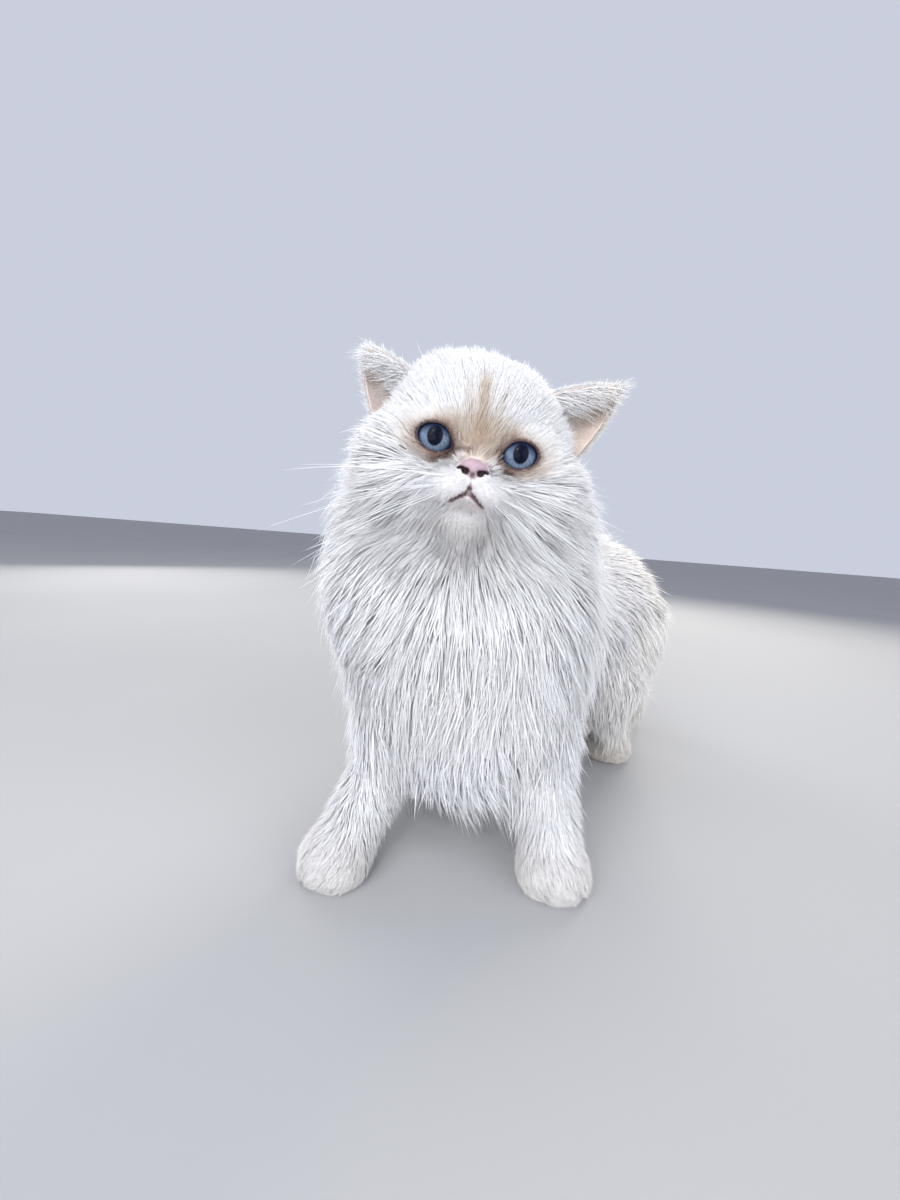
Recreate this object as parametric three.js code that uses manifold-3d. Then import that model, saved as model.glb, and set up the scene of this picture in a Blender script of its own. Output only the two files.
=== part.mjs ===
// A persian cat standing, life size, in millimetres, +Z up.
// The cat faces -Y: its left side is at +X. The soles rest on z = 0.
import * as THREE from "three";
import { mergeVertices } from "three/addons/utils/BufferGeometryUtils.js";
import Module from "manifold-3d";

const wasm = await Module();
wasm.setup();

// Driving sizes
const GAP = 0.35; // clear space between neighbouring pieces
const LOCK_GAP = 0.45; // the same round a lock
const WELD = 2e-3; // corners closer than this are one corner
const CLEAR = 0.6; // how much a shape grows before it cuts its neighbours
const BLEND = 16; // how softly the forms of the body run into each other
const FACE_BLEND = 5; // the same for the small forms of the face and the toes
const SHORT_COAT = 8; // a coat up to this depth stays plain
const CORE_SHARE = 0.42; // a longer one has a core this deep under its locks
const LOCK_THICK = 5.5;
const LOCK_LOWEST = 2; // no lock comes nearer to the floor
const ROOT_VOLUME = 25; // a lock joined by less than this, in cubic millimetres, is left out
const LOCK_SINK = 3; // depth of a lock's root under the core's surface
const HEAD_AT = [8.3, 231, 277.5]; // between the eyes, at the front of the corneas
const HEAD_TURN = { yaw: 2, pitch: -2, roll: 7.3 }; // degrees
const EYE_RADIUS = 12;
const EYE_APART = 44.5; // centre to centre
const EYE_BACK = 12; // centre of the eyeball behind the front of the cornea
const LID = 1.5; // thickness of the lids over the eyeball
const LID_OPENING = { width: 19, height: 16.6 };
const HIPS_AT = [137, 466]; // on the floor below the hip joints
const BODY_YAW = 39; // degrees that the trunk turns away behind the chest
const CHEST_AT = [14, 318, 142];

const rad = THREE.MathUtils.degToRad;
const vec = (p) => new THREE.Vector3(...p);
const AXIS_X = vec([1, 0, 0]);
const AXIS_Y = vec([0, 1, 0]);
const AXIS_Z = vec([0, 0, 1]);
const DOWN = vec([0, 0, -1]);
// Seeded draws, so that the coat comes out the same each time
function draws(seed) {
  let state = seed;
  return (low, high) => {
    state = (state * 1664525 + 1013904223) % 4294967296;
    return low + ((high - low) * state) / 4294967296;
  };
}

// Frames: the head's own, and the trunk's, which is measured from the hips
function turned(at, { yaw = 0, pitch = 0, roll = 0 }) {
  const turn = new THREE.Euler(rad(pitch), rad(roll), rad(yaw), "ZXY");
  return new THREE.Matrix4().makeRotationFromEuler(turn).setPosition(...at);
}
const HEAD = turned(HEAD_AT, HEAD_TURN);
const TRUNK = turned([...HIPS_AT, 0], { yaw: -BODY_YAW });
// In the trunk's frame x is to the cat's left, y is to its rear.
const inHead = (x, y, z) => vec([x, y, z]).applyMatrix4(HEAD);
const inTrunk = (left, rear, up) => vec([left, rear, up]).applyMatrix4(TRUNK);

// Forms: each has a distance from its skin, and the heights of its core and its hair tips
const layers = (coat) => ({ core: coat > SHORT_COAT ? coat * CORE_SHARE : coat, tips: coat });
function egg(frame, centre, radii, coat, turn = {}) {
  const inverse = frame.clone().multiply(turned(centre, turn)).invert();
  const [a, b, c] = radii;
  const q = new THREE.Vector3();
  const distance = (p) => {
    q.copy(p).applyMatrix4(inverse);
    const near = Math.hypot(q.x / a, q.y / b, q.z / c);
    const slope = Math.hypot(q.x / (a * a), q.y / (b * b), q.z / (c * c));
    return slope > 1e-9 ? (near * (near - 1)) / slope : -Math.min(a, b, c);
  };
  return { distance, ...layers(coat) };
}
function bone(from, to, fromRadius, toRadius, coat) {
  const run = to.clone().sub(from);
  const span = run.lengthSq();
  const q = new THREE.Vector3();
  const distance = (p) => {
    q.copy(p).sub(from);
    const t = THREE.MathUtils.clamp(q.dot(run) / span, 0, 1);
    return q.addScaledVector(run, -t).length() - THREE.MathUtils.lerp(fromRadius, toRadius, t);
  };
  return { distance, ...layers(coat) };
}
// The lower of two distances, rounded where they cross
function soften(a, b, blend) {
  const near = Math.max(blend - Math.abs(a - b), 0) / blend;
  return Math.min(a, b) - (near * near * blend) / 4;
}
// The smooth union of some forms, at a height from 0 at their cores to 1 at the hair tips
function union(forms, blend, height = 0) {
  const top = (form) => THREE.MathUtils.lerp(form.core, form.tips, height);
  return (p) => forms.reduce((d, form) => soften(d, form.distance(p) - top(form), blend), 1e6);
}
function gradient(field, p, step = 0.5) {
  const q = new THREE.Vector3();
  const slope = (axis) =>
    field(q.copy(p).addScaledVector(axis, step)) - field(q.copy(p).addScaledVector(axis, -step));
  return vec([slope(AXIS_X), slope(AXIS_Y), slope(AXIS_Z)]).normalize();
}

// Solids
function solidOf(points, triangles) {
  const geometry = new THREE.BufferGeometry();
  geometry.setAttribute("position", new THREE.Float32BufferAttribute(points, 3));
  geometry.setIndex(triangles);
  const merged = mergeVertices(geometry, WELD);
  const mesh = new wasm.Mesh({
    numProp: 3,
    vertProperties: merged.attributes.position.array,
    triVerts: new Uint32Array(merged.index.array),
  });
  return new wasm.Manifold(mesh);
}
function solidFrom(geometry, matrix = new THREE.Matrix4()) {
  const plain = geometry.clone().applyMatrix4(matrix);
  plain.deleteAttribute("normal");
  plain.deleteAttribute("uv");
  const merged = mergeVertices(plain, WELD);
  return solidOf([...merged.attributes.position.array], [...merged.index.array]);
}
// A cut may leave scraps and sealed hollows: the largest closed surface is the piece
function largest(solid) {
  const pieces = solid.decompose();
  return pieces.reduce((best, piece) => (piece.volume() > best.volume() ? piece : best));
}
// The same after corners closer than the weld have become one
function settled(solid) {
  const { vertProperties, triVerts } = largest(solid).getMesh();
  return largest(solidOf([...vertProperties], [...triVerts]));
}

// The same solid with every corner moved out along its mean normal
function grown(solid, by) {
  const { vertProperties, triVerts } = solid.getMesh();
  const geometry = new THREE.BufferGeometry();
  geometry.setAttribute("position", new THREE.BufferAttribute(vertProperties.slice(), 3));
  geometry.setIndex(new THREE.BufferAttribute(triVerts, 1));
  geometry.computeVertexNormals();
  const { position, normal } = geometry.attributes;
  const points = [...position.array].map((value, i) => value + by * normal.array[i]);
  return solidOf(points, [...triVerts]);
}

// How far the skin lies from a centre in a direction
function reach(field, centre, direction) {
  const p = new THREE.Vector3();
  let t = 0;
  for (let step = 0; step < 80; step++) {
    const d = field(p.copy(centre).addScaledVector(direction, t));
    t -= 0.9 * d;
    if (Math.abs(d) < 0.01) break;
  }
  return Math.max(t, 0.5);
}
// A closed surface round a run of centres. The rings look straight out from their centres,
// and both ends close like the ends of a capsule.
function wrap(centres, field, { sides, rings, endRings, up = AXIS_Z }) {
  const spine = new THREE.CatmullRomCurve3(centres, false, "centripetal");
  const lines = [];
  const look = (t, lean) => lines.push({ t, lean });
  for (let i = 1; i <= endRings; i++) look(0, (i / (endRings + 1) - 1) * 90);
  for (let i = 0; i <= rings; i++) look(i / rings, 0);
  for (let i = 1; i <= endRings; i++) look(1, (i / (endRings + 1)) * 90);
  const points = [];
  const put = (centre, direction) => {
    const p = centre.clone().addScaledVector(direction, reach(field, centre, direction));
    points.push(p.x, p.y, p.z);
  };
  const start = spine.getPointAt(0);
  const end = spine.getPointAt(1);
  put(start, spine.getTangentAt(0).negate());
  for (const { t, lean } of lines) {
    const centre = spine.getPointAt(t);
    const ahead = spine.getTangentAt(t);
    const across = up.clone().cross(ahead).normalize();
    const over = ahead.clone().cross(across);
    for (let j = 0; j < sides; j++) {
      const a = (j / sides) * 2 * Math.PI;
      const out = across.clone().multiplyScalar(Math.cos(a)).addScaledVector(over, Math.sin(a));
      const direction = out.multiplyScalar(Math.cos(rad(lean)));
      put(centre, direction.addScaledVector(ahead, Math.sin(rad(lean))));
    }
  }
  put(end, spine.getTangentAt(1));
  return solidOf(points, gridTriangles(lines.length, sides));
}
// Triangles of rings of points between a first and a last pole
function gridTriangles(rings, sides) {
  const at = (i, j) => 1 + i * sides + (j % sides);
  const last = 1 + rings * sides;
  const triangles = [];
  for (let j = 0; j < sides; j++) {
    triangles.push(0, at(0, j + 1), at(0, j));
    for (let i = 0; i + 1 < rings; i++) {
      triangles.push(at(i, j), at(i, j + 1), at(i + 1, j + 1));
      triangles.push(at(i, j), at(i + 1, j + 1), at(i + 1, j));
    }
    triangles.push(at(rings - 1, j), at(rings - 1, j + 1), last);
  }
  return triangles;
}
// A large block on the far side of a plane, for cutting pieces along it
function beyond(point, normal, setBack = 0) {
  const size = 1400;
  const turn = new THREE.Quaternion().setFromUnitVectors(AXIS_Z, normal);
  const centre = point.clone().addScaledVector(normal, size / 2 + setBack);
  const place = new THREE.Matrix4().compose(centre, turn, new THREE.Vector3(1, 1, 1));
  return solidFrom(new THREE.BoxGeometry(size, size, size), place);
}
const UNDERGROUND = beyond(vec([0, 0, 0]), DOWN);

// Forms of the trunk, from the rump to the breast
const WORLD = new THREE.Matrix4();
const trunkForms = [
  egg(TRUNK, [0, 12, 164], [52, 58, 54], 26),
  egg(TRUNK, [0, -28, 178], [50, 52, 46], 25),
  egg(TRUNK, [0, -72, 160], [50, 64, 52], 26),
  egg(TRUNK, [0, -130, 160], [54, 68, 60], 26),
  egg(TRUNK, [2, -178, 184], [44, 44, 46], 26),
  egg(WORLD, CHEST_AT, [64, 44, 56], 27, { yaw: -8 }),
  egg(WORLD, [22, 310, 104], [44, 30, 32], 30),
];
const trunkLine = [inTrunk(0, 10, 164), inTrunk(0, -80, 163), inTrunk(0, -176, 150)];

// Forms of the neck and its ruff
const neckForms = [
  bone(vec([26, 332, 196]), inHead(2, 62, -6), 44, 38, 26),
  egg(WORLD, [4, 304, 190], [71, 42, 50], 28),
  egg(WORLD, [5, 318, 236], [74, 34, 44], 27),
];
const neckLine = [vec([16, 322, 184]), vec([10, 308, 214]), inHead(1, 58, -22)];

// Forms of the head, in its own frame: x to the cat's left, y back, z up
function bothSides(make) {
  return [make(-1), make(1)];
}
const headForms = [
  egg(HEAD, [0, 50, 15], [48, 44, 40], 6),
  egg(HEAD, [0, 32, 16], [36, 26, 24], 3),
  ...bothSides((s) => egg(HEAD, [s * 34, 36, -14], [25, 26, 24], 15)),
  egg(HEAD, [0, 32, -32], [26, 24, 17], 9),
];
const faceForms = [
  ...bothSides((s) => egg(HEAD, [s * 18, 21, 15], [14, 11, 9], 1)),
  ...bothSides((s) => egg(HEAD, [s * 9.5, 4, -24], [12.5, 10.5, 9], 0.5)),
  ...bothSides((s) => egg(HEAD, [s * 24, 18, -17], [14, 12, 10], 1)),
  egg(HEAD, [0, 10, -3], [9, 9, 12], 0.5),
  egg(HEAD, [0, 0, -13], [8.5, 6.5, 5.5], 0),
  egg(HEAD, [0, 8, -40], [12.5, 10, 10.5], 1),
];
const lidForms = bothSides((s) => {
  const radius = EYE_RADIUS + LID;
  return egg(HEAD, [(s * EYE_APART) / 2, EYE_BACK, 0], [radius, radius, radius], 0);
});

// The head's surface, seen from its middle in directions that lie closest at the muzzle
function headField(height = 0) {
  const skull = union(headForms, BLEND, height);
  const face = union(faceForms, FACE_BLEND, height);
  const lids = union(lidForms, FACE_BLEND, height);
  return (p) => soften(soften(skull(p), face(p), 7), lids(p), 2);
}
function headSolid(sides, rings) {
  const field = headField();
  const middle = inHead(0, 38, -6);
  const muzzle = inHead(0, -2, -22).sub(middle).normalize();
  const left = inHead(1, 0, 0).sub(inHead(0, 0, 0)).normalize();
  const over = left.clone().cross(muzzle);
  const points = [];
  const put = (tilt, around) => {
    const direction = muzzle.clone().multiplyScalar(Math.cos(tilt));
    direction.addScaledVector(left, Math.sin(tilt) * Math.cos(around));
    direction.addScaledVector(over, Math.sin(tilt) * Math.sin(around));
    const p = middle.clone().addScaledVector(direction, reach(field, middle, direction));
    points.push(p.x, p.y, p.z);
  };
  put(0, 0);
  for (let i = 1; i <= rings; i++) {
    const part = i / (rings + 1);
    const tilt = Math.PI * (0.5 * part + 0.5 * part ** 2.6);
    for (let j = 0; j < sides; j++) put(tilt, (j / sides) * 2 * Math.PI);
  }
  put(Math.PI, 0);
  const made = solidOf(points, gridTriangles(rings, sides));
  if (made.volume() > 0) return made;
  return solidOf(points, gridTriangles(rings, sides).reverse());
}

// Eyes: an eyeball with the low dome of its cornea in front
function eyeGeometry(grow = 0) {
  const half = 10;
  const profile = [];
  for (let i = 0; i <= half; i++) {
    const a = (i / half) * Math.PI;
    const dome = 0.9 * Math.max(0, Math.cos(a) - 0.78) / 0.22;
    const radius = EYE_RADIUS + grow;
    const across = i === 0 || i === half ? 0 : radius * Math.sin(a);
    profile.push(new THREE.Vector2(across, -radius * Math.cos(a) - dome * 0.5));
  }
  return new THREE.LatheGeometry(profile, 16);
}
const eyePlace = (side) => {
  const place = new THREE.Matrix4().makeTranslation((side * EYE_APART) / 2, EYE_BACK, 0);
  return HEAD.clone().multiply(place);
};
// The opening between the lids: a prism of almond outline that runs forward
function lidOpening(side) {
  const { width, height } = LID_OPENING;
  const outline = new THREE.Shape();
  outline.moveTo(-width / 2, -1.2 * side);
  outline.bezierCurveTo(-width / 3, height * 0.68, width / 3, height * 0.68, width / 2, 1.2 * side);
  outline.bezierCurveTo(width / 3, -height * 0.66, -width / 3, -height * 0.66, -width / 2, -1.2 * side);
  const prism = new THREE.ExtrudeGeometry(outline, { depth: 20, bevelEnabled: false, curveSegments: 10 });
  prism.rotateX(Math.PI / 2);
  return solidFrom(prism, eyePlace(side));
}

// Nostrils, each with its slit to the side, and the line of the mouth from the philtrum down
function nostrilCuts(side) {
  const ball = new THREE.SphereGeometry(1, 8, 6);
  const at = (centre, radii) =>
    solidFrom(ball, HEAD.clone().multiply(new THREE.Matrix4().compose(
      vec(centre), new THREE.Quaternion(), vec(radii))));
  return [at([side * 3.9, -5.2, -15], [1.9, 3, 1.5]), at([side * 7.2, -3.6, -14], [2.6, 2.4, 0.7])];
}
const MOUTH_LINE = {
  middle: [[0, -6.6, -17.5], [0, -5.2, -21.5], [0, -3.6, -26]],
  side: [[0, -3.6, -25.5], [5.5, -4.4, -29.5], [10.5, -1.8, -33.4], [16, 5, -36]],
};
function mouthCut(points, side, radius) {
  const line = new THREE.CatmullRomCurve3(points.map(([x, y, z]) => inHead(side * x, y, z)));
  const section = new THREE.Shape([[1, 0], [0, 1], [-1, 0], [0, -1]].map(
    ([a, b]) => new THREE.Vector2(a * radius, b * radius)));
  return solidFrom(new THREE.ExtrudeGeometry(section, { steps: 6, extrudePath: line }));
}

// Ears: a cupped sheet of even thickness, open to the front and outwards
const EAR_SHEET = 2.4;
const EARS = {
  right: { inner: [-38, 47, 42], outer: [-62, 44, 10], tip: [-75, 47, 54], hollow: 11 },
  left: { inner: [38, 46, 50], outer: [64, 43, 18], tip: [77, 47, 60], hollow: 11 },
};
function earSolid({ inner, outer, tip, hollow }) {
  const a = inHead(...inner);
  const b = inHead(...outer);
  const top = inHead(...tip);
  const middle = a.clone().add(b).multiplyScalar(0.5);
  const rise = top.clone().sub(middle);
  const across = b.clone().sub(a).multiplyScalar(0.5);
  const back = across.clone().cross(rise).normalize();
  if (back.y < 0) back.negate();
  const columns = 8;
  const rows = 7;
  const sheet = (depth) => {
    const points = [];
    for (let i = 0; i <= rows; i++) {
      const v = i / rows;
      const width = (1 - v ** 1.5) ** 0.75 + 0.03;
      for (let j = 0; j <= columns; j++) {
        const u = (j / columns) * 2 - 1;
        const cup = hollow * width * (1 - u * u) + depth;
        const p = middle.clone().addScaledVector(rise, -0.3 + 1.3 * v);
        points.push(p.addScaledVector(across, u * width).addScaledVector(back, cup));
      }
    }
    return points;
  };
  const faces = [...sheet(0), ...sheet(EAR_SHEET)];
  const count = (rows + 1) * (columns + 1);
  const at = (layer, i, j) => layer * count + i * (columns + 1) + j;
  const triangles = [];
  const quad = (p, q, r, s) => triangles.push(p, q, r, p, r, s);
  for (let i = 0; i < rows; i++) {
    for (let j = 0; j < columns; j++) {
      quad(at(0, i, j), at(0, i, j + 1), at(0, i + 1, j + 1), at(0, i + 1, j));
      quad(at(1, i, j), at(1, i + 1, j), at(1, i + 1, j + 1), at(1, i, j + 1));
    }
    quad(at(0, i, 0), at(0, i + 1, 0), at(1, i + 1, 0), at(1, i, 0));
    quad(at(0, i, columns), at(1, i, columns), at(1, i + 1, columns), at(0, i + 1, columns));
  }
  for (let j = 0; j < columns; j++) {
    quad(at(0, 0, j), at(1, 0, j), at(1, 0, j + 1), at(0, 0, j + 1));
    quad(at(0, rows, j), at(0, rows, j + 1), at(1, rows, j + 1), at(1, rows, j));
  }
  const points = faces.flatMap((p) => [p.x, p.y, p.z]);
  const made = solidOf(points, triangles);
  if (made.volume() > 0) return made;
  return solidOf(points, triangles.reverse());
}

// Limbs: a run of bones down to the wrist or hock, then the paw with its toes
function toeForms(frame, at, toward, wide) {
  const forms = [];
  for (const [across, forward] of [[-1.5, -4], [-0.5, 1], [0.5, 1], [1.5, -4]]) {
    const turn = { yaw: toward - across * 7 };
    const a = rad(toward);
    const ahead = 9 + forward;
    const x = at[0] + across * wide * Math.cos(a) + ahead * Math.sin(a);
    const y = at[1] + across * wide * Math.sin(a) - ahead * Math.cos(a);
    forms.push(egg(frame, [x, y, 9], [wide * 0.62, 14, 10], 3, turn));
  }
  return forms;
}
const FORE = {
  right: {
    shoulder: vec([-16, 322, 132]), elbow: vec([-30, 312, 92]), wrist: vec([-50, 291, 38]),
    paw: [-63, 272], toward: -42, feather: [-20, 320, 78],
  },
  left: {
    shoulder: vec([58, 324, 132]), elbow: vec([68, 316, 92]), wrist: vec([82, 293, 38]),
    paw: [84, 276], toward: 8, feather: [72, 322, 72],
  },
};
function forelegForms({ shoulder, elbow, wrist, paw, feather }) {
  return [
    egg(WORLD, feather, [15, 12, 24], 22),
    bone(shoulder, elbow, 30, 21, 15),
    bone(elbow, wrist, 19, 13, 9),
    bone(wrist, vec([...paw, 16]), 13, 15, 6),
  ];
}
function forepawForms({ paw, toward }) {
  const palm = egg(WORLD, [paw[0], paw[1], 13], [20, 22, 14], 4, { yaw: toward });
  return [palm, ...toeForms(WORLD, paw, toward, 10.5)];
}
const HIND = bothSides((side) => ({
  hip: inTrunk(side * 32, 6, 148), knee: inTrunk(side * 41, -26, 108),
  hock: inTrunk(side * 38, 54, 64), paw: inTrunk(side * 38, 38, 0),
}));
const hindlegForms = ({ hip, knee, hock }) => [
  bone(hip, knee, 44, 28, 17),
  bone(knee, hock, 26, 15, 13),
  bone(hip.clone().lerp(hock, 0.35), hock, 30, 15, 12),
];
const hindpawForms = ({ hock, paw }) => [
  bone(hock, vec([paw.x, paw.y, 18]), 13, 12, 7),
  egg(WORLD, [paw.x, paw.y, 12], [19, 24, 13], 4, { yaw: -BODY_YAW }),
  ...toeForms(WORLD, [paw.x, paw.y], -BODY_YAW, 9.5),
];

// The tail: a short plume carried low
const tailLine = [
  inTrunk(0, 52, 176), inTrunk(0, 84, 168), inTrunk(2, 112, 138),
  inTrunk(6, 128, 100), inTrunk(12, 136, 66),
];
const tailForms = tailLine.slice(1).map((to, i) =>
  bone(tailLine[i], to, 12 - 2 * i, 10 - 2 * i, [20, 25, 27, 24][i]));

// Pieces: each shape is made in full, then cut clear of the shapes that come before it
const pieces = {};
const shapes = [];
function place(name, shape, cuts = []) {
  let piece = shape;
  for (const cut of cuts) piece = piece.subtract(cut);
  for (const earlier of shapes) piece = piece.subtract(earlier);
  pieces[name] = settled(piece);
}

const trunkShape = wrap(trunkLine, union(trunkForms, BLEND), {
  sides: 20, rings: 9, endRings: 5,
});
const neckShape = wrap(neckLine, union(neckForms, BLEND), {
  sides: 18, rings: 5, endRings: 3, up: AXIS_Y,
});
const headShape = headSolid(34, 24);
const headOutline = grown(headSolid(20, 14), 3.4);

const faceCuts = [];
for (const side of [-1, 1]) {
  faceCuts.push(solidFrom(eyeGeometry(GAP), eyePlace(side)), lidOpening(side));
  pieces[side < 0 ? "eye_right" : "eye_left"] = solidFrom(eyeGeometry(), eyePlace(side));
}
for (const side of [-1, 1]) {
  faceCuts.push(...nostrilCuts(side), mouthCut(MOUTH_LINE.side, side, 1.1));
}
faceCuts.push(mouthCut(MOUTH_LINE.middle, 1, 0.9));
place("head", headShape, faceCuts);
shapes.push(headOutline);
place("torso", trunkShape);
shapes.push(grown(trunkShape, CLEAR));
place("neck", neckShape);
shapes.push(grown(neckShape, CLEAR));
for (const [side, ear] of Object.entries(EARS)) place("ear_" + side, earSolid(ear));

// A limb ends in its paw, parted from it by a level cut
function limb(name, forms, pawForms, line, cutAt) {
  const field = union(forms, BLEND);
  const pawField = union(pawForms, FACE_BLEND);
  const footField = (p) => soften(field(p), pawField(p), 8);
  const legShape = wrap(line.leg, field, { sides: 14, rings: 6, endRings: 3, up: AXIS_Y });
  const footShape = wrap(line.foot, footField, {
    sides: 16, rings: 3, endRings: 8, up: line.footUp,
  });
  place(name, legShape, [beyond(cutAt, DOWN)]);
  place(name.replace("leg", "paw"), footShape, [
    beyond(cutAt, AXIS_Z, -GAP), UNDERGROUND,
  ]);
  shapes.push(grown(pieces[name], CLEAR), grown(footShape, CLEAR));
}
for (const [side, fore] of Object.entries(FORE)) {
  const { shoulder, elbow, wrist, paw, toward } = fore;
  const ahead = vec([Math.sin(rad(toward)), -Math.cos(rad(toward)), 0]);
  const palm = vec([...paw, 16]);
  limb("foreleg_" + side, forelegForms(fore), forepawForms(fore), {
    leg: [shoulder, elbow, wrist],
    foot: [wrist, palm.clone().addScaledVector(ahead, 2)],
    footUp: ahead.clone().cross(AXIS_Z),
  }, wrist.clone().add(vec([0, 0, 2])));
}
HIND.forEach((hind, i) => {
  const { hip, knee, hock, paw } = hind;
  const ahead = inTrunk(0, -1, 0).sub(inTrunk(0, 0, 0));
  limb(["hindleg_right", "hindleg_left"][i], hindlegForms(hind), hindpawForms(hind), {
    leg: [hip.clone().lerp(knee, 0.25), hock],
    foot: [hock, vec([paw.x, paw.y, 16])],
    footUp: ahead.clone().cross(AXIS_Z),
  }, hock.clone().add(vec([0, 0, -6])));
});

// The tail in three lengths
const tailShape = wrap(tailLine, union(tailForms, BLEND), { sides: 12, rings: 9, endRings: 3 });
const tailCuts = [
  { at: inTrunk(0, 100, 154), way: inTrunk(0, 1, -0.9) },
  { at: inTrunk(4, 122, 118), way: inTrunk(0.1, 0.5, -1) },
].map(({ at, way }) => {
  const along = way.sub(inTrunk(0, 0, 0)).normalize();
  return { after: beyond(at, along), before: beyond(at, along.clone().negate(), -GAP) };
});
place("tail_base", tailShape, [tailCuts[0].after]);
place("tail_middle", tailShape, [tailCuts[0].before, tailCuts[1].after]);
place("tail_tip", tailShape, [tailCuts[1].before]);

// Locks: flat and tapered, rooted in the core of their piece. Each follows the coat of the
// whole body and rises through it, so that the locks lie over one another like shingles.
const bodyForms = [
  ...trunkForms, ...neckForms, ...headForms, ...tailForms,
  ...Object.values(FORE).flatMap(forelegForms), ...HIND.flatMap(hindlegForms),
];
const LAYERS = 6;
const coatFields = [];
for (let i = 0; i <= LAYERS; i++) coatFields.push(union(bodyForms, BLEND, i / 5));
const coatField = (height) => {
  const at = THREE.MathUtils.clamp(height * 5, 0, LAYERS);
  const low = Math.min(Math.floor(at), LAYERS - 1);
  return (p) => THREE.MathUtils.lerp(coatFields[low](p), coatFields[low + 1](p), at - low);
};
const draw = draws(7);

// The line of a lock from its root: places, with the directions out of the coat and across
function lockLine(root, lie, { length, hang = 0, lift = 0, top = 1, rings = 3 }) {
  const line = [];
  const surface = coatField(0);
  const out = gradient(surface, root);
  const p = root.clone().addScaledVector(out, -LOCK_SINK);
  const step = length / rings;
  for (let i = 0; i <= rings; i++) {
    const s = i / rings;
    const toward = lie(p).clone();
    const outward = gradient(coatField(s * top), p);
    toward.addScaledVector(outward, -toward.dot(outward) * (1 - hang)).normalize();
    line.push({ p: p.clone(), out: outward, across: outward.clone().cross(toward).normalize() });
    if (i === rings) break;
    p.addScaledVector(toward, step);
    const next = ((i + 1) / rings) ** 0.8 * top;
    const level = coatField(next);
    const off = level(p) - lift * Math.sin((Math.PI * (i + 1)) / rings / 1.6);
    if (off < 0 || hang === 0) p.addScaledVector(gradient(level, p), -off);
  }
  return line;
}
function lockSolid(line, width, thick, pad = 0) {
  const points = [];
  const last = line.length - 1;
  line.forEach(({ p, out, across }, i) => {
    const s = i / last;
    if (i === last) {
      points.push(...p.toArray());
      return;
    }
    const half = (width / 2) * (1 - s ** 1.9) ** 0.8 * (0.82 + 0.35 * s) + pad;
    const deep = (thick / 2) * (1 - 0.7 * s) + pad;
    const corners = [[half, 0], [0, deep], [-half, 0], [0, -deep]];
    for (const [a, b] of corners) {
      const q = p.clone().addScaledVector(across, a).addScaledVector(out, b);
      points.push(...q.toArray());
    }
  });
  const at = (i, j) => i * 4 + (j % 4);
  const triangles = [at(0, 0), at(0, 1), at(0, 2), at(0, 0), at(0, 2), at(0, 3)];
  for (let j = 0; j < 4; j++) {
    for (let i = 0; i + 1 < last; i++) {
      triangles.push(at(i, j), at(i + 1, j), at(i + 1, j + 1));
      triangles.push(at(i, j), at(i + 1, j + 1), at(i, j + 1));
    }
    triangles.push(at(last - 1, j), last * 4, at(last - 1, j + 1));
  }
  const made = solidOf(points, triangles);
  return made.volume() > 0 ? made : solidOf(points, triangles.reverse());
}
const touching = (a, b) => {
  const [p, q] = [a.boundingBox(), b.boundingBox()];
  const apart = [0, 1, 2].some((i) => p.max[i] < q.min[i] || q.max[i] < p.min[i]);
  return !apart && !a.intersect(b).isEmpty();
};
// What each piece is made of so far: its core, then its locks
const grownParts = Object.fromEntries(Object.entries(pieces).map(([name, core]) => [name, [core]]));
const cores = { ...pieces };
function addLock(name, root, lie, size) {
  const tries = [{}, { lift: 4 }, { lift: 8 }, { cut: 0.8, lift: 4 }, { cut: 0.62, lift: 2 }];
  for (const { lift = 0, cut = 1 } of tries) {
    const line = lockLine(root, lie, {
      ...size, length: size.length * cut, lift: (size.lift ?? 0) + lift,
    });
    const thick = size.thick ?? LOCK_THICK;
    const wide = lockSolid(line, size.width, thick, LOCK_GAP);
    const low = wide.boundingBox().min[2];
    const clear = low > LOCK_LOWEST && Object.entries(grownParts).every(
      ([other, parts]) => other === name || !parts.some((part) => touching(wide, part)));
    if (!clear) continue;
    const made = lockSolid(line, size.width, thick);
    if (made.intersect(cores[name]).volume() < ROOT_VOLUME) return;
    grownParts[name].push(made);
    return;
  }
}
// Roots in tiers along a run of centres, each tier half a step round from the last
function tiers(name, line, forms, { count, around, from = 0, to = 1, up = AXIS_Z, lie, size, keep }) {
  const spine = new THREE.CatmullRomCurve3(line, false, "centripetal");
  const own = union(forms, BLEND);
  for (let i = 0; i < count; i++) {
    const t = from + ((to - from) * i) / Math.max(count - 1, 1);
    const centre = spine.getPointAt(THREE.MathUtils.clamp(t, 0, 1));
    const ahead = spine.getTangentAt(THREE.MathUtils.clamp(t, 0, 1));
    const lean = t < 0 ? t : Math.max(t - 1, 0);
    const across = up.clone().cross(ahead).normalize();
    const over = ahead.clone().cross(across);
    for (let j = 0; j < around; j++) {
      const a = ((j + (i % 2) * 0.5 + draw(-0.12, 0.12)) / around) * 2 * Math.PI;
      const out = across.clone().multiplyScalar(Math.cos(a)).addScaledVector(over, Math.sin(a));
      out.multiplyScalar(Math.cos(lean * 3)).addScaledVector(ahead, Math.sin(lean * 3)).normalize();
      const start = centre.clone().addScaledVector(ahead, draw(-4, 4));
      const root = start.clone().addScaledVector(out, reach(own, start, out));
      if (keep && !keep(root, out)) continue;
      if (coatField(0)(root) < -4) continue;
      const under = Math.max(0, -out.z);
      addLock(name, root, lie, {
        ...size, length: size.length * draw(0.9, 1.12), width: size.width * draw(0.92, 1.08),
        top: 1 + (j % 2 ? 0.08 : -0.08), hang: size.hang + 0.6 * under ** 2,
      });
    }
  }
}

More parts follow.
